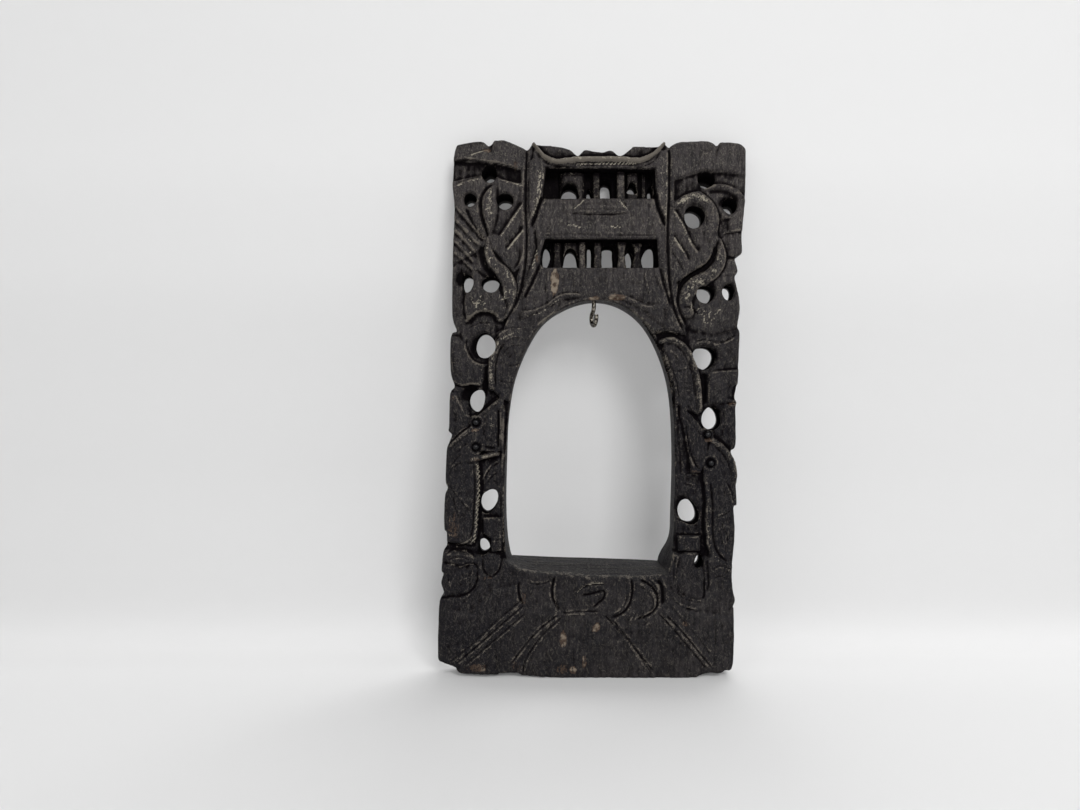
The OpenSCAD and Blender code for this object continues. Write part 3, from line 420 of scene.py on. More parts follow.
    ("cut", 0.5, 0.6, [(36.3, 163.3), (41.3, 160.4), (44.9, 155)], 0.3),
    ("cut", 0.7, 0.5, [(40.2, 152.6), (45, 153.2), (49.4, 155)], 0.4),
    ("cut", 0.7, 0.5, [(41.6, 144.2), (46, 144.4), (50.4, 144)], 0.4),
    ("cut", 0.6, 0.6, [(29, 173), (33.6, 165.4), (37.6, 157), (40.2, 149), (41.6, 139)], 0.6),
    ("plate", 13.9, 1.2, [(58.4, 152.6), (67, 153.4), (75, 154), (75, 138), (66, 137.2), (58.4, 137)]),
    ("groove", 1.6, 3, [(56.1, 152.8), (56.2, 146), (56.2, 140), (56, 136)]),
    ("cut", 0.7, 0.8, [(73.6, 154), (66, 153.8), (58, 152.8)]),
    ("bevel", 13.9, 0.35, -0.1, [(68.4, 146), (75, 146), (75, 138), (66.5, 139)]),
    ("cut", 0.8, 0.9, [(74, 139), (70.4, 136.6), (66, 137.8)], 0.2),
    ("dimple", 3, (60.4, 130.6), (6.8, 7.2)),
    ("cut", 0.5, 0.5, [(65.4, 136), (66.4, 128), (65, 120)], 0.4),
    ("plate", 14.9, 1, [(44.4, 136), (48.2, 131.8), (52, 127.4), (55, 123.4), (58, 119.4), (57, 109), (54, 102),
     (49.6, 101.6), (48.6, 110), (46.6, 121), (44.4, 130)]),
    ("ridge", 0.7, 0.9, [(44.8, 136), (49.4, 130.6), (53.8, 125.4), (57, 121)]),
    ("cut", 0.9, 0.3, [(46.4, 137), (50.8, 131.8), (55, 126.8)], 0.3),
    ("cut", 0.6, 0.5, [(44.8, 132), (48.2, 128), (52, 123.6), (55, 119.6)], 0.5),
    ("pillow", 15.6, 1.4, 1, [(49.4, 126.4), (52.8, 122.6), (55.4, 118), (55.4, 111), (53, 107), (50.6, 110),
     (49.4, 117)]),
    ("groove", 0.5, 1.6, [(46.6, 127), (47.8, 119), (49.2, 112), (51.6, 106), (54.4, 103.4)]),
    ("cut", 0.4, 0.6, [(42.6, 130), (43.4, 118), (44.4, 108), (44.6, 99)], 0.4),
    ("cut", 0.6, 0.6, [(46.4, 101.2), (50.4, 102), (55, 101.6)], 0.6),
    ("cut", 0.5, 0.6, [(44.6, 97.4), (48.4, 95.8), (53.4, 94.6)], 0.4),
    ("plate", 15, 1.2, [(55.4, 104), (58.4, 117), (62.4, 117.4), (68, 110.6), (71, 104), (76, 97), (76, 56), (60, 56),
     (56.6, 66), (56, 96)]),
    ("band", 16.1, 1.6, 0.6, [(59.4, 118.6), (63.2, 115.8), (66.4, 112.8), (69.2, 108.8), (71.2, 103.6), (71.8, 98)]),
    ("cut", 0.7, 0.3, [(60.4, 116), (64, 112.6), (67, 108.4), (69.4, 102.4)], 0.6),
    ("cut", 0.7, 0.3, [(62, 120.8), (66, 117.2), (69.6, 112.4), (71.6, 107)], 0.4),
    ("groove", 0.8, 1.4, [(55.4, 99), (56.2, 88), (55.9, 76), (56.8, 66), (59, 60.6)]),
    ("groove", 0.8, 1.4, [(59, 98), (60, 86), (60, 74), (61, 66), (63.8, 60.6), (68, 57.4)]),
    ("chalk", 1.1, 0.42, [(57.2, 98), (58.1, 87), (58, 73), (59, 65), (62.4, 59.2), (67.4, 55.6)]),
    ("cut", 0.7, 0.8, [(60.6, 79.4), (64.6, 80.6), (70, 83.6)], 0.2),
    ("cut", 0.7, 0.6, [(64.7, 78), (65.2, 74.5), (67.2, 70.5), (67.8, 65.6)], 0.4),
    ("cut", 0.5, 0.6, [(61.8, 75), (64, 70.6), (65.4, 64.4)]),
    ("cut", 0.9, 0.4, [(66.4, 98.4), (69.3, 93.2), (71.2, 86)], 0.9),
    ("dimple", 3.6, (45.4, 84.6), (5.4, 8.6)),
    ("bevel", 14.6, 0, 0.12, [(41, 79), (46, 77), (54, 74.8), (54.6, 71.2), (43.4, 71.6)]),
    ("cut", 0.9, 0.9, [(40.4, 79.6), (46, 77.6), (53.6, 75.2)], 0.2),
    ("plate", 14.8, 0.8, [(42.8, 70.4), (54, 70.6), (54, 62.8), (43, 62.8)]),
    ("cut", 0.8, 0.7, [(42.4, 71.4), (48.7, 70.8), (54.4, 71)], 0.5),
    ("cut", 0.8, 0.4, [(43, 63), (49.7, 62.4), (53, 62.6)], 0.6),
    ("pillow", 15.4, 2.2, 1.5, [(43.2, 59.4), (41.6, 52), (42, 45.4), (44.2, 41.6), (48, 39.6), (53, 39), (56, 40.6),
     (56, 50), (55.4, 57), (53, 62), (46, 62.4)]),
    ("cut", 0.7, 0.7, [(41.6, 61.6), (40.6, 52.5), (41.2, 45.4), (44, 40.6), (48.7, 38.4), (55.4, 37.6)], 0.3),
    ("dimple", 2, (53.6, 58), (4, 4.8)),
    ("groove", 0.8, 1.2, [(57, 60), (57.4, 53.5), (57.8, 47), (56.8, 42)]),
    ("cut", 0.7, 0.4, [(59, 53), (62.4, 55.6), (66, 55.4), (70.4, 53)], 0.8),
    ("cut", 0.6, 0.4, [(59.6, 48.6), (63.4, 50.6), (68.6, 48.6)], 0.6),
    # Leaves, scrolls and lines of the base
    ("groove", 0.8, 2, [(-36.2, 48.8), (-37, 45), (-36.2, 40), (-34.4, 36)]),
    ("cut", 0.8, 0.8, [(-33, 49), (-29.7, 47), (-23.7, 47.4), (-19.9, 49)]),
    ("groove", 0.8, 2.2, [(-18.9, 51), (-20.2, 45), (-19.6, 39.4), (-16.4, 33.4)]),
    ("cut", 0.5, 0.9, [(-15.6, 33.6), (-17.8, 38.6), (-18.2, 44), (-17, 49.6)]),
    ("groove", 0.7, 1.6, [(-6.4, 41), (-1, 42), (5.4, 43.4), (5.4, 40), (2.4, 37), (-0.6, 34.4)]),
    ("cut", 0.8, 1, [(-8.2, 42.2), (-5, 45), (0.6, 46.8), (7, 46.4)], 0.6),
    ("chalk", 0.5, 0.9, [(-8, 41.8), (-4.7, 45.5), (0.9, 47.2), (6.9, 46.9)]),
    ("groove", 0.7, 2, [(19, 50), (19.8, 44), (18.6, 37.6), (15, 32.6), (9, 29.8)]),
    ("cut", 0.6, 0.9, [(8.8, 30.4), (14, 33.8), (16.8, 38.6), (17.4, 44)]),
    ("groove", 0.7, 2, [(22.8, 49.3), (28.4, 46.3), (32, 41.6), (32, 36), (28, 31.6), (22, 29.4)]),
    ("cut", 0.6, 1, [(21.5, 46.9), (26, 44.2), (29.6, 40), (29.8, 35.4), (27, 32.4)], 0.5),
    ("cut", 0.6, 0.9, [(26.7, 50), (30.4, 46.8), (33.6, 42.6)], 0.4),
    ("cut", 0.6, 0.8, [(29.6, 49.8), (33.6, 46.8), (37, 44)], 0.4),
    ("groove", 1.4, 2, [(32, 50), (34.4, 45), (35, 40), (34.6, 36)]),
    ("cut", 0.6, 0.9, [(38, 41.6), (41.2, 38), (45.6, 35), (54, 32.8)]),
    ("cut", 0.5, 0.7, [(36.4, 44.6), (39.6, 40.2)]),
    ("cut", 0.5, 0.9, [(25.9, 34), (22.9, 29)], 0.5),
    ("cut", 0.5, 0.9, [(22.4, 33.6), (19.4, 28.4)], 0.5),
    ("cut", 0.5, 0.9, [(19.6, 32.4), (17, 28)], 0.5),
    ("cut", 0.5, 0.8, [(28.6, 29.8), (24.6, 25.2)], 0.5),
    ("cut", 0.9, 0.9, [(4.1, 33.6), (-0.7, 33.2), (-8.6, 33), (-15.8, 32.4)], 0.7),
    ("cut", 0.7, 0.8, [(-34.2, 40), (-41, 34.2), (-48.3, 28.2), (-61, 16.2), (-72, 7.4)], 0.4),
    ("cut", 1, 0.9, [(-33.8, 36.8), (-46.7, 25.6), (-59.4, 14.4), (-68.9, 6.5)], 0.7),
    ("cut", 0.8, 0.8, [(-33, 32.9), (-45.9, 21.6), (-56.2, 12.8), (-64.1, 6.2)], 0.5),
    ("cut", 1, 0.9, [(-16.6, 32.1), (-26.1, 24.7), (-34, 16), (-41.1, 6.5)], 0.7),
    ("cut", 0.9, 0.8, [(-15.1, 30.6), (-24.5, 22), (-31.4, 12.8), (-34, 7.3), (-34.8, 1.4)], 0.6),
    ("cut", 1, 0.8, [(5.6, 31.9), (13.6, 23.1), (21.5, 13.6), (28.6, 3.3)], 0.8),
    ("cut", 0.9, 0.9, [(8.8, 30.3), (17.5, 19.9), (24.7, 10.4), (31, 2.5)], 0.7),
    ("cut", 0.9, 0.7, [(32.6, 32.4), (40.5, 23.9), (48.5, 14.4), (57.2, 4)], 0.7),
    ("cut", 1, 0.9, [(36.6, 31.4), (45.3, 22.3), (52.4, 13.6), (59.6, 4.9)], 0.8),
    ("cut", 0.5, 0.7, [(38.6, 36), (46, 27.6), (53, 19.4), (59, 11)]),
    ("cut", 0.5, 0.6, [(61.2, 34), (61, 20), (60, 5)]),
    ("bevel", 16.6, 0.12, 0, [(61, 34), (73, 34), (73, -2), (61, -2)]),
    ("bevel", 16.8, -0.05, 0, [(-60, 36), (-80, 36), (-80, -2), (-60, -2)]),
    # The lip of the arch
    ("plate", 15.2, 1.2, [(-48, 172), (-37, 178), (-26, 184), (-13, 189.4), (1.5, 191), (15, 189), (27, 183), (36, 173),
     (30, 172), (26, 177), (15, 186), (1, 189), (-13, 185.4), (-26, 176), (-36, 160), (-40, 160)]),
    ("ridge", 1, 0.6, [(-33.5, 167), (-27.6, 175.8), (-20, 182), (-13.4, 186), (-6, 188.4), (1.5, 189.4), (9, 188.2),
     (15.6, 186.4), (22, 181.6), (28, 176), (33, 167.5)]),
    ("ridge", 0.9, 0.8, [(-43.4, 135), (-44.8, 126), (-45, 112), (-45.4, 100)]),
    ("ridge", 0.9, 0.7, [(33.6, 165), (37.4, 157), (40.4, 147), (42.2, 136), (42.6, 128)]),
    ("groove", 0.7, 0.9, [(35.4, 165), (39.6, 155), (42, 147.6), (43.6, 138)]),
)

# Narrow cut patterns: half width, depth below the face, pitch, swing from side to side, and the line they follow
ZIGZAGS = [
    (0.32, 0.0, 1.9, 0.4, [(-9, 255.9), (2, 256.2), (16, 256.2), (22.4, 255.8)]),
    (0.32, 0.0, 2.2, 0.4, [(-26, 252), (-26.6, 246), (-27.6, 241)]),
    (0.35, 0.0, 2.0, 0.4, [(-13.4, 225.8), (-9, 225.6), (-5.6, 224.4)]),
    (0.35, 0.0, 2.0, 0.4, [(8.6, 225.6), (11, 224.8), (14.6, 225.2)]),
    (0.35, 0.0, 2.4, 0.4, [(-27.4, 214), (-28.6, 209), (-30.4, 203)]),
    (0.36, 0.2, 2.4, 0.5, [(-57.6, 107.4), (-57, 96.7), (-57.5, 85), (-58.4, 73.3), (-59.8, 66.4)]),
]

# Small curls of dust: middle x and z, radius, and the angle in degrees where each three-quarter turn starts
CURLS = [
    (-52.2, 213, 1.2, 40), (-50.4, 208, 1.3, 20), (-47.6, 205, 1.2, 60), (-41.6, 201, 1.3, 30),
    (-45.3, 190.4, 1.3, 90), (-42.8, 191, 1.4, 60), (-40.4, 192.4, 1.1, 40), (-58.9, 188.6, 1.5, 100),
    (-55.2, 189, 1.3, 60), (-57, 185.4, 1.2, 10), (-53.4, 185.6, 1.2, 40), (50.6, 185.2, 1.3, 30),
    (53.6, 182.6, 1.4, 60), (56.6, 181.8, 1.3, 20), (59.4, 181, 1.2, 50), (62, 180.2, 1.2, 10),
    (57, 178.4, 1.2, 80), (60.4, 177.6, 1.1, 40), (64, 182.6, 1.0, 0), (50.8, 199, 1.3, 120),
    (55, 198, 1.3, 100), (48.6, 195.6, 1.2, 140), (47, 191, 1.2, 150), (60.6, 204, 1.2, 110),
    (63.4, 209, 1.2, 120),
]

# Places where the stain is gone: x, z, half width, half height and how bare
CHIPS = [
    (-14.7, 19.5, 1.7, 4.6, 0.75), (1.8, 25, 1.8, 2.4, 0.8), (-57.3, 5.2, 5.0, 2.2, 0.6), (-15, 4.6, 3.0, 2.4, 0.5),
    (-9.6, 4.2, 2.0, 1.8, 0.65), (-4.2, 8.6, 1.1, 3.6, 0.6), (-38.2, 6, 2.2, 3.0, 0.4), (-34.4, 40, 1.0, 3.6, 0.5),
    (-18.9, 197.4, 2.0, 6.2, 1.0), (1, 189.2, 2.6, 0.9, 1.0), (12.2, 189.7, 4.6, 1.5, 0.85),
    (-58.7, 123.6, 2.4, 0.8, 0.7), (57.8, 118.4, 2.0, 1.2, 0.7), (-69.4, 75.5, 3, 7, 0.42),
    (-52.2, 49.8, 4, 0.7, 0.45), (-27.7, 208.6, 0.9, 2, 0.6), (-38.4, 256, 1.8, 2.2, 0.4),
    (-52.6, 263.4, 2.0, 1.0, 0.7), (-70, 139.6, 1.4, 1.2, 0.45), (46, 27, 2, 1.5, 0.4),
    (-59.5, 108.8, 3, 0.9, 0.5), (-51, 111, 3, 0.9, 0.42), (70, 136.4, 2.4, 1.2, 0.45),
    (51.4, 102.8, 2.6, 0.9, 0.42),
]

# Pillars and blocks of the lattices: middle x, half width at the ends and at the waist, thickness left, and how worn,
# which lightens the face, partly as wear and partly as painted light, and lifts the lattice's painted shade off it
PILLARS_UPPER = [
    (-9.8, 6.7, 6.7, 11.4, 0.14), (2.2, 2.3, 2.0, 11.0, 0.1), (14.4, 2.6, 2.4, 12.8, 0.2),
    (20.3, 3.3, 3.3, 11.0, 0.12), (26.2, 1.4, 1.2, 8.6, 0.05), (31.3, 0.7, 0.7, 9.0, 0.0),
]
PILLARS_LOWER = [
    (-17.5, 3.1, 1.8, 10.4, 0.1), (-10.8, 4.3, 4.3, 10.6, 0.14), (-5.1, 2.2, 2.0, 12.4, 0.2),
    (2.8, 2.5, 2.2, 11.6, 0.14), (14.8, 3.2, 1.9, 12.4, 0.2), (22.9, 3.8, 1.7, 10.4, 0.1),
]

# Each lattice: its window, its openings, the share of their height that is left at the back, and its pillars
LATTICES = ((WINDOW_UPPER, OPENINGS_UPPER, 0.76, PILLARS_UPPER), (WINDOW_LOWER, OPENINGS_LOWER, 0.9, PILLARS_LOWER))


def linear(hex_colour):
    """Turns an sRGB hex colour into linear red, green, blue, alpha: dark values scaled, others to the power 2.4."""
    channels = [int(hex_colour[i:i + 2], 16) / 255 for i in (1, 3, 5)]
    return tuple(c / 12.92 if c <= 0.04045 else ((c + 0.055) / 1.055) ** 2.4 for c in channels) + (1.0,)


def smooth(t):
    """Rises from 0 to 1 with level ends as t goes from 0 to 1: three t squared less two t cubed."""
    t = np.clip(t, 0.0, 1.0)
    return t * t * (3 - 2 * t)


def curve(points, steps=6, closed=False):
    """A smooth line through the points: on each stretch the cubic that leaves and arrives along its neighbours."""
    p = np.asarray(points, float)
    before, after = (p[-1:], p[:2]) if closed else (p[:1], p[-1:])
    p = np.concatenate([before, p, after])
    t = (np.arange(steps) / steps)[None, :, None]
    a, b, c, d = (p[k:len(p) - 3 + k, None] for k in range(4))
    line = 0.5 * (2 * b + (c - a) * t + (2 * a - 5 * b + 4 * c - d) * t ** 2 + (3 * b - a - 3 * c + d) * t ** 3)
    line = line.reshape(-1, p.shape[1])
    return np.concatenate([line, line[:1] if closed else p[-2:-1]])


def nearest_on(x, z, line):
    """For each point the gap to a line, the place along it from 0 to 1, the side (+1 on its left), and the
    stretch and part of it that is nearest. On a stretch, that is the point's foot held between its ends."""
    start, reach = line[:-1], np.diff(line, axis=0)
    length = np.hypot(*reach.T) + 1e-9
    px, pz = x[..., None] - start[:, 0], z[..., None] - start[:, 1]
    t = np.clip((px * reach[:, 0] + pz * reach[:, 1]) / length ** 2, 0, 1)
    gap = np.hypot(px - t * reach[:, 0], pz - t * reach[:, 1])
    k = gap.argmin(-1)
    pick = k[..., None]
    px, pz, t, gap = (np.take_along_axis(v, pick, -1)[..., 0] for v in (px, pz, t, gap))
    begun = np.concatenate([[0], np.cumsum(length)])
    along = (begun[k] + t * length[k]) / begun[-1]
    side = np.sign(reach[k, 0] * pz - reach[k, 1] * px)
    return gap, along, side, k, t


def inside(x, z, starts, ends, block=3_000_000):
    """True where a line drawn left from the point crosses an odd number of edges, worked out in blocks."""
    flat_x, flat_z = np.ravel(x), np.ravel(z)
    found = []
    for part in np.array_split(np.arange(flat_x.size), max(1, flat_x.size * len(starts) // block)):
        px, pz = flat_x[part, None], flat_z[part, None]
        crosses = (starts[:, 1] > pz) != (ends[:, 1] > pz)
        rise = np.where(ends[:, 1] == starts[:, 1], 1, ends[:, 1] - starts[:, 1])
        at = starts[:, 0] + (pz - starts[:, 1]) / rise * (ends[:, 0] - starts[:, 0])
        found.append((crosses & (at < px)).sum(1) % 2 == 1)
    return np.concatenate(found).reshape(np.shape(x))


def ellipse(x, z, across, up, lean, count=28):
    """A closed ring of points on an ellipse: cosine and sine times its half sizes, turned by its lean in degrees."""
    turn = np.linspace(0, 2 * math.pi, count + 1)
    c, s = math.cos(math.radians(lean)), math.sin(math.radians(lean))
    a, b = across * np.cos(turn), up * np.sin(turn)
    return np.stack([x + a * c - b * s, z + a * s + b * c], 1)


def grown(points, by):
    """A closed outline moved outwards from its middle by a distance."""
    p = np.asarray(points, float)
    out = p - p.mean(0)
    return p + out / np.hypot(*out.T)[:, None] * by


def noise(x, z, size_x, size_z, seed):
    """Soft random ground from -1 to 1: seeded values on a lattice of the given sizes, blended between its points."""
    u, v = x / size_x, z / size_z
    i, j = np.floor(u).astype(int), np.floor(v).astype(int)
    values = np.random.default_rng(seed).uniform(-1, 1, (int(i.max() - i.min()) + 2, int(j.max() - j.min()) + 2))
    a, b = smooth(u - i), smooth(v - j)
    i, j = i - i.min(), j - j.min()
    low = values[i, j] * (1 - a) + values[i + 1, j] * a
    high = values[i, j + 1] * (1 - a) + values[i + 1, j + 1] * a
    return low * (1 - b) + high * b


def blurred(field, reach):
    """The mean of a field over a square that reaches some cells each way, by differences of running sums."""
    padded = np.pad(field, reach, mode="edge")
    total = np.pad(padded.cumsum(0).cumsum(1), ((1, 0), (1, 0)))
    wide = 2 * reach + 1
    return (total[wide:, wide:] - total[:-wide, wide:] - total[wide:, :-wide] + total[:-wide, :-wide]) / wide ** 2


def at_least(field, block, value):
    """Raises a field over a block of its grid to a value, where it is lower."""
    field[block] = np.maximum(field[block], value)


class Stroke:
    """The block of a relief near a smooth line through some points. For each place it holds the gap to the line,
    the share of the line passed, the side (+1 on its left), and a fade from 0 to 1 over a few mm at both ends."""

    def __init__(self, relief, points, margin, fade=2.5):
        line = curve(points)
        self.block, self.gap, self.along, self.side = relief.beside(line, margin)
        self.length = np.hypot(*np.diff(line, axis=0).T).sum()
        reach = min(fade / self.length, 0.3)
        self.ends = smooth(self.along / reach) * smooth((1 - self.along) / reach)


class Relief:
    """A carved face as the thickness left over a square grid, with how worn, dusty and bare each place is, and how dark
    the shade painted on it is.
    """

    def __init__(self, low, high, step, level):
        self.spacing = step
        self.columns = np.arange(low[0], high[0] + step, step)
        self.rows = np.arange(low[1], high[1] + step, step)
        self.x, self.z = np.meshgrid(self.columns, self.rows)
        self.height = np.full(self.x.shape, float(level))
        self.worn, self.dust, self.bare, self.dark = np.zeros((4, *self.x.shape))

    def window(self, points, margin):
        """The block of the grid that holds the points with a margin round them."""
        low, high = np.min(points, 0) - margin, np.max(points, 0) + margin
        i0, i1 = np.searchsorted(self.rows, (low[1], high[1]))
        j0, j1 = np.searchsorted(self.columns, (low[0], high[0]))
        return np.s_[i0:i1, j0:j1]

    def beside(self, line, margin):
        """The block of the grid near a line, with the gap, place along and side of each of its points."""
        block = self.window(line, margin)
        gap, along, side, _, _ = nearest_on(self.x[block], self.z[block], line)
        return block, gap, along, side

    def depth_in(self, outline, margin):
        """The block near a closed outline, and how far inside it each point lies (negative outside)."""
        loop = np.asarray(outline, float)
        loop = np.concatenate([loop, loop[:1]])
        block, gap, _, _ = self.beside(loop, margin)
        held = inside(self.x[block], self.z[block], loop[:-1], loop[1:])
        return block, np.where(held, gap, -gap)

    def plate(self, level, soft, outline):
        """Brings the ground inside an outline to a level, blended over a soft edge."""
        block, depth = self.depth_in(outline, soft)
        mix = smooth(0.5 + depth / soft)
        self.height[block] += (level - self.height[block]) * mix

    def pillow(self, level, edge, drop, outline):
        """A rounded form: its top at a level, falling by a drop along a quarter round within its edge."""
        block, depth = self.depth_in(curve(outline, 4, closed=True)[:-1], 1.0)
        fall = 1 - np.clip(depth / edge, 0, 1)
        target = level - drop * (1 - np.sqrt(1 - fall ** 2))
        mix = smooth(0.5 + depth / 0.9)
        self.height[block] += (target - self.height[block]) * mix

    def bevel(self, level, slope_x, slope_z, outline):
        """Cuts a flat facet: no higher than a plane that starts at a level on the outline's inner corner."""
        block, depth = self.depth_in(outline, 0.5)
        p = np.asarray(outline, float)
        x0 = p[:, 0].min() if slope_x >= 0 else p[:, 0].max()
        z0 = p[:, 1].min() if slope_z >= 0 else p[:, 1].max()
        plane = level - slope_x * (self.x[block] - x0) - slope_z * (self.z[block] - z0)
        cut = np.minimum(self.height[block], plane)
        self.height[block] += (cut - self.height[block]) * smooth(0.5 + depth)

    def ridge(self, half, rise, points):
        """A rounded ridge along a line: its rise times the squared cosine across its half width. Its crest is lighter,
        partly as wear and partly as a painted highlight.
        """
        s = Stroke(self, points, half * 1.6)
        lift = np.cos(np.clip(s.gap / (half * 1.15), 0, 1) * math.pi / 2) ** 2 * s.ends
        self.height[s.block] += 0.85 * rise * lift
        # A lighter crest, partly wear and partly painted highlight
        at_least(self.worn, s.block, (0.3 + 0.25 * min(rise, 1.2)) * lift ** 3)

    def groove(self, half, depth, points):
        """A gouged groove along a line: its depth falls off across its half width as a V, with a worn shoulder and
        painted shade in it that grows darker with its depth.
        """
        s = Stroke(self, points, half + 2)
        cut = (1 - np.clip(s.gap / (half * 1.05), 0, 1)) ** 1.1 * s.ends
        self.height[s.block] -= 0.85 * depth * cut
        shoulder = np.exp(-((s.gap - half * 1.3 - 0.2) / 0.45) ** 2) * s.ends
        at_least(self.worn, s.block, min(0.25 * depth, 0.5) * shoulder)
        self.worn[s.block] *= 1 - cut
        self.dust[s.block] *= 1 - cut
        # Painted shade in the groove, darker the deeper it is cut
        at_least(self.dark, s.block, cut * min(0.3 + 0.42 * depth, 1))

    def band(self, level, half, crown, points, shares=None, worn=0.25):
        """A raised band along a line, crowned across and worn, whose half width is scaled by shares along it."""
        widths = np.ones(len(points)) if shares is None else np.asarray(shares, float)
        s = Stroke(self, points, half * widths.max() + 1)
        here = half * np.interp(s.along, np.linspace(0, 1, len(widths)), widths)
        target = level - crown * (s.gap / here) ** 2
        mix = smooth((here - s.gap) / 0.8 + 0.5)
        self.height[s.block] += (target - self.height[s.block]) * mix
        self.worn[s.block] = np.maximum(self.worn[s.block] * (1 - mix), worn * mix)
        # No painted shade is left under the band
        self.dark[s.block] *= 1 - mix

    def step(self, drop, fade, points):
        """One form lapping over the next: on the left of the line the face drops at once and rises back over a fade.
        The drop is painted with shadow, and the upper form's lip is lighter, partly as wear and partly as a painted
        highlight.
        """
        s = Stroke(self, points, fade)
        low = smooth(0.5 + s.side * s.gap) * np.clip(1 - s.gap / fade, 0, 1) ** 1.4
        self.height[s.block] -= drop * low * s.ends
        # The lip: lighter, partly wear and partly painted highlight
        lip = np.exp(-((s.side * s.gap + 0.7) / 0.8) ** 2) * s.ends
        at_least(self.worn, s.block, 0.6 * lip)
        # Painted shadow below the lip
        at_least(self.dark, s.block, 0.6 * low ** 2 * s.ends)

    def chalk(self, half, share, points):
        """A line of old dust: strongest on the line and gone a half width away from it."""
        s = Stroke(self, points, half * 1.2, fade=1.2)
        at_least(self.dust, s.block, share * ((1 - np.clip(s.gap / half, 0, 1)) * s.ends))

    def cut(self, depth, light, points, right=0.0):
        """A knife line: a thin V painted dark with shade, with a light edge on the left of its heading, and one on its
        right if asked. The light edges are partly wear and partly a painted highlight.
        """
        self.groove(0.45, depth, points)
        s = Stroke(self, points, 2.0)
        across = s.side * s.gap
        edge = light * np.exp(-((across - 0.9) / 0.45) ** 2) + right * np.exp(-((across + 0.9) / 0.45) ** 2)
        edge *= s.ends
        self.height[s.block] += 0.35 * edge
        # Light edges, partly wear and partly painted highlight
        at_least(self.worn, s.block, 0.66 * edge)

    def gouged(self, across, up, depth, seed):
        """Shallow scoops side by side: each place sinks by how near it lies to the middle of its own scoop, one
        seeded middle for every cell of a lattice."""
        u, v = self.x / across, self.z / up
        i, j = np.floor(u).astype(int), np.floor(v).astype(int)
        i0, j0 = i.min() - 1, j.min() - 1
        middles = np.random.default_rng(seed).uniform(0.1, 0.9, (i.max() - i0 + 2, j.max() - j0 + 2, 2))
        nearest = np.full(self.x.shape, 9.0)
        for a, b in ((i + m, j + n) for m in (-1, 0, 1) for n in (-1, 0, 1)):
            middle = middles[a - i0, b - j0]
            nearest = np.minimum(nearest, (u - a - middle[..., 0]) ** 2 + (v - b - middle[..., 1]) ** 2)
        self.height -= depth * np.clip(1 - 1.6 * nearest, 0, 1)

    def dimple(self, depth, middle, radii):
        """A sunk cone with a rounded rim round a middle, where a hole was opened at a slant."""
        ring = ellipse(*middle, *radii, 0)
        block = self.window(ring, 0.5)
        far = np.hypot((self.x[block] - middle[0]) / radii[0], (self.z[block] - middle[1]) / radii[1])
        self.height[block] -= depth * smooth(1.15 * (1 - far))

    def zigzag(self, half, depth, pitch, swing, points):
        """A cut that swings from side to side of a line: its offset is a triangle wave of the length along it."""
        s = Stroke(self, points, half + swing + 0.6, fade=1.0)
        wave = swing * (2 * np.abs(2 * ((s.along * s.length / pitch) % 1) - 1) - 1)
        mark = np.exp(-((s.side * s.gap - wave) / half) ** 2) * s.ends
        self.height[s.block] -= depth * mark
        at_least(self.dust, s.block, mark)


def carve_board(step):
    """The whole relief of the board: the ground, every move of the table, beads' seats and tool marks."""
    relief = Relief((BOARD_LOW[0] - step, -step), (BOARD_HIGH[0] + step, BOARD_HIGH[2] + step), step, GROUND)
    for tool, *values in CARVING:
        getattr(relief, tool)(*values)
    # Each bead sits on a raised pad, in a cut ring painted dark with shadow, with a worn ring outside it
    for name in BEADS:
        low, high = box_of(name)
        x, z, seat = (low[0] + high[0]) / 2, (low[2] + high[2]) / 2, BACK_Y - high[1]
        radius = (high[0] - low[0]) / 2
        far = np.hypot(relief.x - x, relief.z - z)
        pad = smooth((radius * 2.4 - far) / 1.6)
        relief.height += (seat + 1.0 - relief.height) * pad
        relief.height -= 0.9 * np.exp(-((far - radius * 1.35) / 0.55) ** 2)
        relief.height += (seat + 0.05 - relief.height) * smooth((radius + 0.25 - far) / 0.5)
        # Painted shadow in the ring round the bead
        relief.dark = np.maximum(relief.dark, 0.9 * np.exp(-((far - radius * 1.2) / 0.6) ** 2))
        relief.worn = np.maximum(relief.worn, 0.5 * np.exp(-((far - radius * 2.2) / 0.45) ** 2))
    for values in ZIGZAGS:
        relief.zigzag(*values)
    for x, z, radius, start in CURLS:
        turn = np.radians(start + np.arange(0, 271, 45))
        relief.chalk(0.5, 0.9, np.stack([x + radius * np.cos(turn), z + 1.2 * radius * np.sin(turn)], 1))
    x, z = relief.x, relief.z
    for values in SCOOPS:
        relief.gouged(*values)
    relief.height += sum(depth * noise(x, z, *sizes) for depth, *sizes in UNEVEN)
    for cx, cz, rx, rz, amount in CHIPS:
        far = np.hypot((x - cx) / rx, (z - cz) / rz) + 0.22 * noise(x, z, 1.1, 1.7, 21)
        patch = smooth(2.2 * (1.25 - far))
        relief.bare = np.maximum(relief.bare, amount * patch)
        relief.height -= 0.25 * amount * patch
    relief.height = np.clip(relief.height, THINNEST, FULL - 0.02)
    return relief


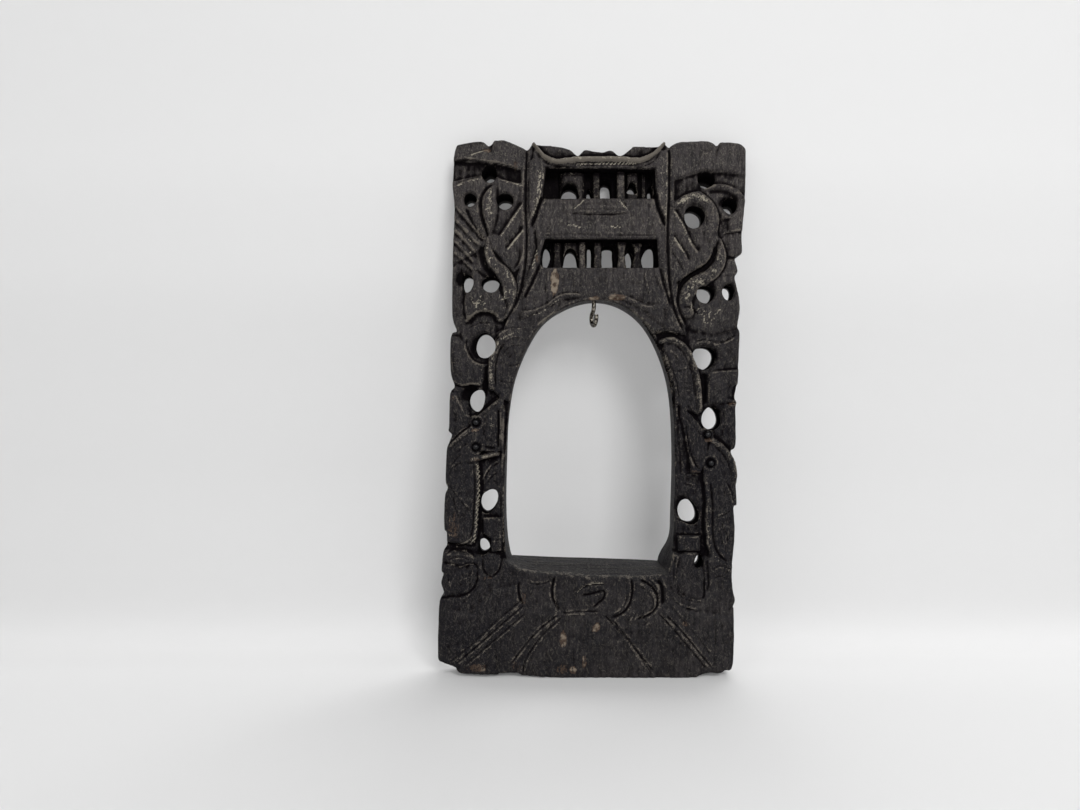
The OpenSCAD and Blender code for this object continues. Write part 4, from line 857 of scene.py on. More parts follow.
def carve_lattice(outline, pillars, step):
    """A window's lattice: a thin floor with waisted round pillars and blocks standing on it, rising in a slope at its
    foot.
    """
    p = np.asarray(outline)
    low, high = p.min(0), p.max(0)
    relief = Relief(low - 1, high + 1, step, LATTICE_FLOOR)
    height = relief.height
    share = (relief.z - low[1]) / (high[1] - low[1])
    # Painted shade: the whole lattice starts dark, as the window's recess lies in shade, and each pillar's face is
    # lifted out of it by how worn it is
    relief.dark += 1.0
    for x, ends, waist, thick, worn in pillars:
        half = waist + (ends - waist) * np.abs(2 * share - 1) ** 1.6
        across = np.clip(np.abs(relief.x - x) / half, 0, 1)
        form = LATTICE_FLOOR + (thick - LATTICE_FLOOR) * np.sqrt(1 - across ** 4)
        face = smooth(3 * (0.95 - across)) * smooth((0.86 - share) / 0.12)
        relief.worn = np.maximum(relief.worn, worn * face)
        relief.dark = np.minimum(relief.dark, 1 - min(0.3 + 2.6 * worn, 0.95) * face)
        height = np.maximum(height, form)
    height = np.where(share > 0.9, LATTICE_FLOOR, height)
    height = np.maximum(height, LATTICE_FLOOR + 4.5 * smooth((0.07 - share) / 0.07))
    height += 0.12 * noise(relief.x, relief.z, 1.5, 3.5, 31)
    relief.height = height
    return relief


class Edge:
    """A closed edge of a board: its line on the front face, the line behind it on the back, how far its arris is
    rounded, and how dark the shade painted on its walls is.
    """

    def __init__(self, front, back=None, arris=1.0, wall_shade=0.6):
        self.front = np.asarray(front, float)
        self.back = self.front if back is None else np.asarray(back, float)
        self.arris = arris
        self.wall_shade = wall_shade


def board_edges():
    """Every edge of the board: outline, arch, pierced holes and the two windows."""
    arch = curve(np.array(ARCH, float).reshape(len(ARCH), 4), 6, closed=True)
    outline = np.clip(curve(OUTLINE, 4, closed=True), BOARD_LOW[::2], BOARD_HIGH[::2])
    edges = [Edge(outline, arris=1.1, wall_shade=0.1),
             Edge(arch[:, :2], arch[:, 2:], arris=1.0, wall_shade=0.05)]
    for x, z, across, up, lean, drop in HOLES:
        ring = ellipse(x, z, across, up, lean)
        wobble = 1 + 0.04 * np.sin(3 * np.linspace(0, 2 * math.pi, len(ring)) + x)
        front = np.array([x, z]) + (ring - (x, z)) * wobble[:, None]
        back = (front - (x, z)) * (0.96 - 0.05 * drop) + (x, z - drop)
        edges.append(Edge(front, back, arris=0.9, wall_shade=0.75))
    for window, *_ in LATTICES:
        loop = np.array(window + window[:1], float)
        sides = [np.linspace(a, b, 12)[:-1] for a, b in zip(loop[:-1], loop[1:])]
        edges.append(Edge(np.concatenate(sides + [loop[:1]]), arris=0.5, wall_shade=0.95))
    return edges


def lattice_edges(outline, openings, lower):
    """The edges of one lattice: its own outline, let into the board, and its openings, which get lower to the back."""
    loop = grown(outline, LET_IN)
    edges = [Edge(np.concatenate([loop, loop[:1]]), arris=0.0, wall_shade=1.0)]
    for opening in openings:
        front = curve(opening, 4, closed=True)
        foot = np.array([front[:, 0].mean(), front[:, 1].min()])
        edges.append(Edge(front, foot + (front - foot) * (0.9, lower), arris=0.5, wall_shade=0.95))
    return edges


def near_edges(relief, edges, reach):
    """For each grid point the gap to the nearest edge up to a reach, that edge, and the stretch and part of it."""
    shape = relief.x.shape
    gap, owner = np.full(shape, float(reach)), np.full(shape, -1)
    stretch, part = np.zeros(shape, int), np.zeros(shape)
    for number, edge in enumerate(edges):
        for first in range(0, len(edge.front) - 1, 12):
            line = edge.front[first:first + 13]
            block = relief.window(line, reach)
            found, _, _, k, t = nearest_on(relief.x[block], relief.z[block], line)
            closer = found < gap[block]
            for field, value in ((gap, found), (owner, number), (stretch, k + first), (part, t)):
                field[block] = np.where(closer, value, field[block])
    return gap, owner, stretch, part


def cell_corners(shape):
    """The numbers of the four corners of every cell of a grid, in order round the cell."""
    index = np.arange(shape[0] * shape[1]).reshape(shape)
    return [index[:-1, :-1], index[:-1, 1:], index[1:, 1:], index[1:, :-1]]


def face_cells(held, on, signed, least):
    """The faces of the grid points that are held or on an edge: whole cells as quads and cut corners as triangles,
    and the sides that only one of them has. A face with all its points on an edge stays if it lies inside: its
    points' mean place, which is negative inside, is below the least."""
    kept = held | on
    corners = cell_corners(held.shape)
    keep = [kept.ravel()[c] for c in corners]
    count = sum(k.astype(int) for k in keep)
    rim_only = sum((k & on.ravel()[c]).astype(int) for k, c in zip(keep, corners)) == count
    mean = sum(np.where(k, signed.ravel()[c], 0) for k, c in zip(keep, corners)) / np.maximum(count, 1)
    real = ~rim_only | (mean < least)
    quads = np.stack([c[(count == 4) & real] for c in corners], 1)
    triangles = []
    for k in range(4):
        cut = (count == 3) & ~keep[k] & real
        triangles.append(np.stack([corners[(k + n) % 4][cut] for n in (1, 2, 3)], 1))
    triangles = np.concatenate(triangles)
    sides = np.concatenate([np.stack([f[:, k], f[:, (k + 1) % f.shape[1]]], 1)
                            for f in (quads, triangles) for k in range(f.shape[1])])
    forward, backward = sides[:, 0] * held.size + sides[:, 1], sides[:, 1] * held.size + sides[:, 0]
    return quads, triangles, sides[~np.isin(forward, backward)]


def front_finish(relief, inward):
    """The finish of the carved face: worn where it nears an edge; lighter where it stands proud of its blurred self,
    partly as wear and partly as painted light; painted shade where it lies below it, where the board is left thin and
    where the carving laid it; dusty and bare as carved."""
    fine, proud, broad = (relief.height - blurred(relief.height, max(1, int(round(reach / relief.spacing))))
                          for reach in (1.0, 2.2, 6.0))
    # worn: edge wear, and painted light where the face stands proud of its blurred self
    worn = np.clip(relief.worn + 0.22 * np.clip(proud, 0, 1.2) + 0.2 * np.clip(fine, 0, 0.4) + 0.3 * inward, 0, 1.4)
    # sunk: painted shade where the face lies below its blurred self and where the board is left thinner than 12.8 mm
    sunk = np.clip(0.45 * np.clip(-fine, 0, 0.5) + 0.5 * np.clip(-proud, 0, 2.0) + 0.3 * np.clip(-broad, 0, 1.6)
                   + 0.4 * np.clip(12.8 - relief.height, 0, 4) / 4, 0, 1)
    return worn, relief.dust, relief.bare, np.maximum(sunk, relief.dark)


def filled(rim, sides, within):
    """Triangles that suit a rim and the points within it best (a constrained Delaunay net), without those outside."""
    flat = np.concatenate([rim, within])
    made = delaunay_2d_cdt([Vector(p) for p in flat], sides.tolist(), [], 0, 1e-5)
    origin = np.array([ids[0] if ids else 0 for ids in made[3]])
    faces = origin[np.array(made[2])]
    middle = flat[faces].mean(1)
    return faces[inside(middle[:, 0], middle[:, 1], rim[sides[:, 0]], rim[sides[:, 1]])]


def solid_board(relief, edges, rings, back_step, back_y):
    """A closed board from a relief and its edges, as points, quads, triangles and finish values.

    Grid points within half a step of an edge move onto it. The border that is left is carried to the back through
    rings, at shares of the depth, from the edge's front line to its back line. The back is filled with the
    triangles that suit its rim and a coarse grid best."""
    step = relief.spacing
    gap, owner, stretch, part = near_edges(relief, edges, EDGE_REACH)
    held = inside(relief.x, relief.z, np.concatenate([e.front[:-1] for e in edges]),
                  np.concatenate([e.front[1:] for e in edges]))
    on = gap < 0.5 * step
    x, z = relief.x.copy(), relief.z.copy()
    back_x, back_z = x.copy(), z.copy()
    arris, wall_shade = np.zeros(x.shape), np.zeros(x.shape)
    for number, edge in enumerate(edges):
        mine = on & (owner == number)
        k, t = stretch[mine], part[mine][:, None]
        x[mine], z[mine] = (edge.front[k] * (1 - t) + edge.front[k + 1] * t).T
        back_x[mine], back_z[mine] = (edge.back[k] * (1 - t) + edge.back[k + 1] * t).T
        wall_shade[owner == number] = edge.wall_shade
        arris[owner == number] = edge.arris
    inward = np.clip(1 - np.where(on, 0, gap) / np.maximum(arris, 1e-6), 0, 1)
    y = back_y - (relief.height - arris * (1 - np.sqrt(1 - inward ** 2)))
    quads, triangles, border = face_cells(held, on, np.where(held, -gap, gap), -0.02 * step)

    x, y, z, back_x, back_z, wall_shade = (field.ravel() for field in (x, y, z, back_x, back_z, wall_shade))
    used = np.unique(np.concatenate([quads.ravel(), triangles.ravel()]))
    renumber = np.full(x.size, -1)
    renumber[used] = np.arange(len(used))
    quads, triangles = renumber[quads], renumber[triangles]
    points = [np.stack([x[used], y[used], z[used]], 1)]
    finish = [np.stack([v.ravel()[used] for v in front_finish(relief, inward)], 1)]

    # The walls: a ring of points for every share of the depth, each joined to the one before
    rim = np.unique(border)
    count = len(rim)
    a, b = np.searchsorted(rim, border).T
    last = renumber[rim]
    wall_quads = []
    for ring, share in enumerate(rings):
        bulge = WALL_SWELL * noise(x[rim] * 1.7 + 11 * ring, z[rim] * 1.7, 3, 3, 40 + ring) * (0 < share < 1)
        rx = np.clip(x[rim] * (1 - share) + back_x[rim] * share + bulge, BOARD_LOW[0], BOARD_HIGH[0])
        rz = np.maximum(z[rim] * (1 - share) + back_z[rim] * share - abs(bulge), BOARD_LOW[2])
        ry = y[rim] * (1 - share) + back_y * share
        points.append(np.stack([rx, ry, rz], 1))
        # Painted shade on the walls: as dark as the edge asks, darker towards the back, and nearly none where the last
        # ring meets the back. Painted light on the walls of the outline and the arch, which get the rubbed colour and a
        # little dust.
        deep = np.clip(wall_shade[rim] + 0.15 * share, 0, 1) if share < 1 else np.full(count, 0.05)
        lit = np.clip(0.2 - wall_shade[rim], 0, 1)
        finish.append(np.stack([lit, lit * 0.4, np.zeros(count), deep], 1))
        here = len(used) + ring * count + np.arange(count)
        wall_quads.append(np.stack([last[b], last[a], here[a], here[b]], 1))
        last = here

    # The back: its rim is the last ring, and a coarse grid of hewn points lies within it
    every = max(1, int(round(back_step / step)))
    coarse = np.zeros(held.shape, bool)
    coarse[::every, ::every] = True
    inner = (coarse & held & (gap > 0.45 * back_step)).ravel()
    within = np.stack([x[inner], z[inner]], 1)
    faces = filled(points[-1][:, [0, 2]], np.stack([a, b], 1), within)
    numbers = np.concatenate([last, last[-1] + 1 + np.arange(len(within))])
    hewn = back_y - BACK_HEWN - BACK_HEWN * noise(within[:, 0], within[:, 1], 9, 17, 61)
    points.append(np.stack([within[:, 0], hewn, within[:, 1]], 1))
    finish.append(np.tile([0.2, 0.15, 0.0, 0.0], (len(within), 1)))
    return (np.concatenate(points), np.concatenate([quads] + wall_quads),
            np.concatenate([triangles, numbers[faces][:, ::-1]]), np.concatenate(finish))


def new_piece(name, points, quads, triangles=None, finish=None):
    """A smooth-shaded object from points in mm and faces, with its finish values as a colour attribute."""
    triangles = np.zeros((0, 3), int) if triangles is None else triangles
    mesh = bpy.data.meshes.new(name)
    corners = np.concatenate([quads.ravel(), triangles.ravel()]).astype(np.int32)
    starts = np.concatenate([np.arange(len(quads)) * 4, len(quads) * 4 + np.arange(len(triangles)) * 3])
    mesh.vertices.add(len(points))
    mesh.vertices.foreach_set("co", (points * MM).astype(np.float32).ravel())
    mesh.loops.add(len(corners))
    mesh.loops.foreach_set("vertex_index", corners)
    mesh.polygons.add(len(starts))
    mesh.polygons.foreach_set("loop_start", starts.astype(np.int32))
    mesh.update(calc_edges=True)
    if finish is not None:
        layer = mesh.color_attributes.new("finish", "FLOAT_COLOR", "POINT")
        layer.data.foreach_set("color", finish.astype(np.float32).ravel())
    mesh.validate()
    mesh.shade_smooth()
    obj = bpy.data.objects.new(name, mesh)
    bpy.context.scene.collection.objects.link(obj)
    return obj


def add_node(tree, kind, inputs=None, **settings):
    """Adds one node: settings go on the node, and each input is linked if it is a socket and set if it is a value."""
    made = tree.nodes.new(kind)
    for key, value in settings.items():
        setattr(made, key, value)
    for key, value in (inputs or {}).items():
        if isinstance(value, bpy.types.NodeSocket):
            tree.links.new(value, made.inputs[key])
        else:
            made.inputs[key].default_value = value
    return made


def new_material(name):
    """An empty material and its shader and output nodes."""
    material = bpy.data.materials.new(name)
    material.use_nodes = True
    tree = material.node_tree
    tree.nodes.clear()
    output = add_node(tree, "ShaderNodeOutputMaterial")
    return material, tree, output


# Steps of a finish: the node that makes each, its settings, the inputs it takes in order, and its output
STEPS = {
    "sum": ("ShaderNodeMath", {"operation": "ADD"}, (0, 1), 0),
    "difference": ("ShaderNodeMath", {"operation": "SUBTRACT"}, (0, 1), 0),
    "product": ("ShaderNodeMath", {"operation": "MULTIPLY"}, (0, 1), 0),
    "larger": ("ShaderNodeMath", {"operation": "MAXIMUM"}, (0, 1), 0),
    "rise": ("ShaderNodeMapRange", {"interpolation_type": "SMOOTHSTEP"}, (0, 1, 2), 0),
    "coat": ("ShaderNodeMix", {"data_type": "RGBA"}, (0, 6, 7), 2),
}

# The wood's patterns: name, size in mm, detail, how far it is drawn out along each axis, lean in degrees, waviness
WOOD_PATTERNS = (
    ("fibres", 1.1, 5, (1, 1, 11), 0, 0.0), ("strokes", 0.8, 5, (1, 1, 3.5), 18, 1.6),
    ("counter", 0.9, 5, (1, 1, 5), -12, 1.2), ("across", 1.2, 5, (22, 1, 1), 0, 0.0),
    ("clouds", 16, 3, (1, 1, 1), 0, 0.0), ("blotches", 3.2, 4, (1, 1, 1), 0, 0.0),
    ("specks", 0.9, 5, (1, 1, 1), 0, 1.0),
)


def add_step(tree, name, *inputs):
    """Adds one step of a finish from the table: a sum, difference or product of two values, the larger of them, a
    smooth rise from 0 to 1 as a value goes from low to high, or a share of a coat of one colour over another."""
    kind, settings, sockets, output = STEPS[name]
    return add_node(tree, kind, dict(zip(sockets, inputs)), **settings).outputs[output]


def stained_wood(looks):
    """Close-grained hardwood stained black-brown and waxed, long handled and never cleaned.

    The eye sees fine upright fibres, a purple black painted as shade in the cuts, holes and recesses, grey-brown where
    the stain is rubbed off the edges or light is painted on raised forms, grey dust in the tool marks and pale wood
    where chips have come away."""
    material, tree, output = new_material("stained_hardwood")
    place = add_node(tree, "ShaderNodeTexCoord").outputs["Object"]
    finish = add_node(tree, "ShaderNodeAttribute", attribute_name="finish")
    split = add_node(tree, "ShaderNodeSeparateColor", {"Color": finish.outputs["Color"]})
    worn, dust, bare, sunk = *split.outputs[:3], finish.outputs["Alpha"]

    step = functools.partial(add_step, tree)
    noises = {}
    for name, size_mm, detail, stretch, lean, wavy in WOOD_PATTERNS:
        scale = [1 / (size_mm * MM * s) for s in stretch]
        turned = add_node(tree, "ShaderNodeMapping", {"Vector": place, "Rotation": (0, math.radians(lean), 0)})
        drawn_out = add_node(tree, "ShaderNodeMapping", {"Vector": turned.outputs[0], "Scale": scale})
        noises[name] = add_node(tree, "ShaderNodeTexNoise",
                                {"Vector": drawn_out.outputs[0], "Scale": 1.0, "Detail": detail, "Roughness": 0.6,
                                 "Distortion": wavy}).outputs[0]
    fibres, specks, blotches = noises["fibres"], noises["specks"], noises["blotches"]

    def about(value, by):
        """The value's distance from its middle, times a factor."""
        return step("product", step("difference", value, 0.5), by)

    along = add_node(tree, "ShaderNodeSeparateXYZ", {"Vector": place})
    sideways, height_up = along.outputs[0], along.outputs[2]
    normal = add_node(tree, "ShaderNodeNewGeometry").outputs["Normal"]
    level = step("rise", add_node(tree, "ShaderNodeSeparateXYZ", {"Vector": normal}).outputs[2], 0.55, 0.8)
    upper = step("rise", height_up, 0.11, 0.24)
    # The stain is lighter and browner towards the top and in clouds. Painted shade darkens its left side low down, away
    # from the lamp on the right; from 60 mm up it is darkened too, less so towards the top
    mottled = step("sum", step("rise", noises["clouds"], 0.35, 0.65), step("rise", blotches, 0.42, 0.62))
    stain = step("coat", step("sum", step("product", mottled, 0.3), step("product", upper, 0.56)),
                 tuple(looks.stain_dark), tuple(looks.stain_light))
    # Painted shade on the lower left, and darkening from 60 mm up
    left_shade_middle_dark = step("product", step("difference", 1.0, upper),
               step("larger", step("rise", sideways, 0.0, -0.06), step("rise", height_up, 0.03, 0.06)))
    stain = step("coat", step("product", left_shade_middle_dark, 0.72), stain, linear("#0b0a10"))
    # Dark fibres, the saw's lines on level faces and light flecks left by the tools
    stain = step("coat", step("product", step("rise", fibres, 0.42, 0.62), 0.62), stain, linear("#0a080b"))
    stain = step("coat", step("product", level, step("rise", noises["across"], 0.46, 0.60)), stain, linear("#242322"))
    flecks = step("larger", step("rise", noises["strokes"], 0.55, 0.67), step("rise", noises["counter"], 0.57, 0.69))
    flecks = step("larger", flecks, step("rise", specks, 0.56, 0.67))
    stain = step("coat", step("product", flecks, step("sum", step("product", upper, 0.26), 0.27)), stain,
                 linear("#6f6a62"))
    # Painted shade in the cuts, holes and recesses; then rubbed edges, which are partly wear and partly painted light,
    # dust and chips, all following the carving
    stain = step("coat", step("product", step("rise", sunk, 0.0, 0.8), 0.94), stain, tuple(looks.painted_shade_colour))
    rubbed = step("rise", step("sum", step("sum", worn, about(specks, 1.8)), about(blotches, 1.5)), 0.40, 0.80)
    stain = step("coat", step("product", rubbed, 0.8), stain, tuple(looks.rubbed_colour))
    dusty = step("rise", step("sum", step("sum", dust, about(specks, 1.8)), about(blotches, 0.8)), 0.45, 0.62)
    dusty = step("product", dusty, step("rise", dust, 0.05, 0.3))
    stain = step("coat", step("product", dusty, 0.9), stain, tuple(looks.dust_colour))
    chipped = step("rise", step("sum", bare, step("sum", about(specks, 1.6), about(fibres, 1.2))), 0.38, 0.60)
    chipped = step("product", chipped, step("rise", bare, 0.05, 0.25))
    pale = step("rise", step("sum", bare, about(blotches, 3.0)), 0.6, 1.1)
    stain = step("coat", chipped, stain, step("coat", pale, linear("#43372f"), tuple(looks.bare_colour)))
    # Wax leaves the faces half matt; the shine is taken away wherever shade is painted
    rough = step("sum", step("sum", 0.50, step("product", dusty, 0.3)),
                 step("product", step("rise", blotches, 0.3, 0.8), 0.12))
    grain = step("sum", step("product", fibres, 0.5), step("product", specks, 0.3))
    grain = step("sum", grain, step("product", step("sum", noises["strokes"], noises["counter"]), 0.3))
    grain = step("sum", grain, step("product", step("product", level, noises["across"]), 1.5))
    gloss = step("product", step("difference", 1.0, step("rise", sunk, 0.0, 0.6)), 0.1)
    bump = add_node(tree, "ShaderNodeBump", {"Strength": 1.0, "Distance": 0.5 * MM, "Height": grain})
    shader = add_node(tree, "ShaderNodeBsdfPrincipled",
                      {"Base Color": stain, "Roughness": rough, "Normal": bump.outputs[0], "IOR": 1.5,
                       "Specular IOR Level": gloss})
    tree.links.new(shader.outputs[0], output.inputs[0])
    return material


def drawn_steel(name, colour, roughness, tarnish):
    """Drawn steel wire, bright where it is handled: fine lines along the wire and brown-grey tarnish in blotches."""
    material, tree, output = new_material(name)
    place = add_node(tree, "ShaderNodeTexCoord").outputs["Object"]
    blotch = add_node(tree, "ShaderNodeTexNoise", {"Vector": place, "Scale": 1 / (1.1 * MM), "Detail": 5.0}).outputs[0]
    lines = add_node(tree, "ShaderNodeTexNoise", {"Vector": place, "Scale": 1 / (0.25 * MM), "Detail": 2.0}).outputs[0]
    amount = add_node(tree, "ShaderNodeMapRange", {"Value": blotch, "From Min": 0.42, "From Max": 0.56}).outputs[0]
    mixed = add_node(tree, "ShaderNodeMix", {0: amount, 6: colour, 7: tarnish}, data_type="RGBA")
    rough = add_node(tree, "ShaderNodeMapRange", {"Value": blotch, "To Min": roughness, "To Max": roughness + 0.25})
    bump = add_node(tree, "ShaderNodeBump", {"Strength": 0.15, "Distance": 0.05 * MM, "Height": lines})
    shader = add_node(tree, "ShaderNodeBsdfPrincipled",
                      {"Base Color": mixed.outputs[2], "Metallic": 1.0, "Roughness": rough.outputs[0],
                       "Normal": bump.outputs[0]})
    tree.links.new(shader.outputs[0], output.inputs[0])
    return material


def black_glass(colour):
    """Black pressed glass, fire polished: a hard bright glint on a near-black bead, with a little dust."""
    material, tree, output = new_material("black_glass")
    place = add_node(tree, "ShaderNodeTexCoord").outputs["Object"]
    film = add_node(tree, "ShaderNodeTexNoise", {"Vector": place, "Scale": 1 / (0.9 * MM), "Detail": 3.0}).outputs[0]
    rough = add_node(tree, "ShaderNodeMapRange",
                     {"Value": film, "From Min": 0.45, "From Max": 0.8, "To Min": 0.02, "To Max": 0.08})
    mixed = add_node(tree, "ShaderNodeMix", {0: film, 6: colour, 7: linear("#0b0b0e")}, data_type="RGBA")
    shader = add_node(tree, "ShaderNodeBsdfPrincipled",
                      {"Base Color": mixed.outputs[2], "Roughness": rough.outputs[0], "IOR": 1.52,
                       "Specular IOR Level": 0.22})
    tree.links.new(shader.outputs[0], output.inputs[0])
    return material


def closed_rings(points):
    """Rings of points, an array of ring, side and place, joined by quads and closed on a middle point at each end."""
    count, sides = points.shape[:2]
    rings = np.arange(count * sides).reshape(count, sides)
    a, b = rings[:-1], rings[1:]
    quads = np.stack([a, np.roll(a, -1, 1), np.roll(b, -1, 1), b], -1).reshape(-1, 4)
    first, last = np.full(sides, rings.size), np.full(sides, rings.size + 1)
    caps = np.concatenate([np.stack([first, np.roll(rings[0], -1), rings[0]], 1),
                           np.stack([last, rings[-1], np.roll(rings[-1], -1)], 1)])
    return np.concatenate([points.reshape(-1, 3), [points[0].mean(0), points[-1].mean(0)]]), quads, caps


def tube(path, reach_axis, side_axis, radius_of, sides):
    """A round wire as rings of points: each ring stands across the path's heading, in the plane of the reach axis
    and the upright, at a radius given for each ring and angle. Both ends close on a middle point."""
    reach, height, heading = path.T
    angle = np.linspace(0, 2 * math.pi, sides, endpoint=False)
    radius = radius_of(np.arange(len(path))[:, None], angle[None, :])
    out = radius * np.cos(angle)
    side = radius * np.sin(angle)
    r = reach[:, None] - out * np.sin(heading)[:, None]
    up = height[:, None] + out * np.cos(heading)[:, None]
    points = r[..., None] * reach_axis + side[..., None] * side_axis
    points[..., 2] += up
    return closed_rings(points)


def round_form(profile, middle, sides):
    """A turned form about a line along Y: the profile's radius carried round, closed by a point at each end."""
    radius, along = np.asarray(profile, float).T
    angle = np.linspace(0, 2 * math.pi, sides, endpoint=False)
    x = middle[0] + radius[:, None] * np.cos(angle)
    z = middle[2] + radius[:, None] * np.sin(angle)
    y = middle[1] + np.repeat(along[:, None], sides, 1)
    return closed_rings(np.stack([x, y, z], -1))


class BoardSettings(bpy.types.PropertyGroup):
    """Sizes and colours of the carved board."""

    grid_step: bpy.props.FloatProperty(
        name="Relief Step", description="Distance between two points of the carved face",
        default=0.64 * MM, min=0.4 * MM, unit="LENGTH", precision=5)
    lattice_step: bpy.props.FloatProperty(
        name="Lattice Step", description="Distance between two points of the window lattices",
        default=0.42 * MM, min=0.3 * MM, unit="LENGTH", precision=5)
    stain_dark: bpy.props.FloatVectorProperty(
        name="Dark Stain", description="The stain at its blackest", subtype="COLOR", size=4,
        default=linear("#161518"))
    stain_light: bpy.props.FloatVectorProperty(
        name="Light Stain", description="The stain where it is thin", subtype="COLOR", size=4,
        default=linear("#393535"))
    # Painted shade: the purple black laid in grooves, holes, recesses and windows
    painted_shade_colour: bpy.props.FloatVectorProperty(
        name="Cuts", description="The purple black that sits in grooves and holes", subtype="COLOR", size=4,
        default=linear("#0a080a"))
    rubbed_colour: bpy.props.FloatVectorProperty(
        name="Rubbed Edges", description="Edges where the stain is rubbed thin", subtype="COLOR", size=4,
        default=linear("#676159"))
    dust_colour: bpy.props.FloatVectorProperty(
        name="Dust", description="Old grey dust in the tool marks", subtype="COLOR", size=4,
        default=linear("#8f897c"))
    bare_colour: bpy.props.FloatVectorProperty(
        name="Bare Wood", description="Pale wood where a chip has come away", subtype="COLOR", size=4,
        default=linear("#7a6f62"))


class HookSettings(bpy.types.PropertyGroup):
    """Sizes and colours of the screw hook."""

    bowl_radius: bpy.props.FloatProperty(
        name="Bowl Radius", description="Radius of the bowl at the middle of the wire",
        default=3.7 * MM, unit="LENGTH", precision=5)
    bend_height: bpy.props.FloatProperty(
        name="Bend Height", description="Height of the double bend that leads to the bowl",
        default=6 * MM, unit="LENGTH", precision=5)
    tip_length: bpy.props.FloatProperty(
        name="Tip Length", description="Straight wire at the open end",
        default=1.5 * MM, unit="LENGTH", precision=5)
    turn: bpy.props.FloatProperty(
        name="Turn", description="Turn of the tip from the board's front", default=math.radians(15),
        subtype="ANGLE")
    thread_pitch: bpy.props.FloatProperty(
        name="Thread Pitch", description="Rise of the wood screw's thread in one turn",
        default=1.0 * MM, unit="LENGTH", precision=5)
    colour: bpy.props.FloatVectorProperty(
        name="Steel", description="Bright drawn steel", subtype="COLOR", size=4, default=linear("#8f8a80"))
    tarnish: bpy.props.FloatVectorProperty(
        name="Tarnish", description="Brown-grey film on the wire", subtype="COLOR", size=4,
        default=linear("#2c2823"))


class BeadSettings(bpy.types.PropertyGroup):
    """Finish of the glass bead eyes and their pins."""

    colour: bpy.props.FloatVectorProperty(
        name="Glass", description="Black glass", subtype="COLOR", size=4, default=linear("#060608"))
    pin_colour: bpy.props.FloatVectorProperty(
        name="Pin Steel", description="Wire of the pins", subtype="COLOR", size=4,
        default=linear("#b9b2a6"))


class StageSettings(bpy.types.PropertyGroup):
    """Camera, backdrop and light."""

    camera_place: bpy.props.FloatVectorProperty(
        name="Camera", description="Where the camera stands", subtype="TRANSLATION",
        default=(-26.25 * MM, -405 * MM, 136 * MM))
    lens: bpy.props.FloatProperty(
        name="Lens", description="Focal length on a film 36 mm wide, in mm", default=26.67)
    paper: bpy.props.FloatVectorProperty(
        name="Paper", description="White paper of the floor and the backdrop", subtype="COLOR", size=4,
        default=linear("#dddddd"))


class BuildBoard(bpy.types.Operator):
    """Carves the board with its arch, holes, windows and lattices"""

    bl_idname = "carved_frame.board"
    bl_label = "Carve the Board"

    def execute(self, context):
        looks = context.scene.carved_frame_board
        parts = [solid_board(carve_board(looks.grid_step / MM), board_edges(),
                             rings=(0.16, 0.55, 1.0), back_step=3.2, back_y=BACK_Y)]
        for outline, openings, lower, pillars in LATTICES:
            lattice = carve_lattice(grown(outline, LET_IN), pillars, looks.lattice_step / MM)
            parts.append(solid_board(lattice, lattice_edges(outline, openings, lower),
                                     rings=(0.5, 1.0), back_step=2.0, back_y=BACK_Y - 0.05))
        shift = np.cumsum([0] + [len(p[0]) for p in parts])
        points, quads, triangles, finish = (
            np.concatenate([p[k] + (shift[n] if k in (1, 2) else 0) for n, p in enumerate(parts)]) for k in range(4))
        board = new_piece("carved_board", points, quads, triangles, finish)
        board.data.materials.append(stained_wood(looks))
        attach(board, "board")
        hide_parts("frame_board")
        return {"FINISHED"}


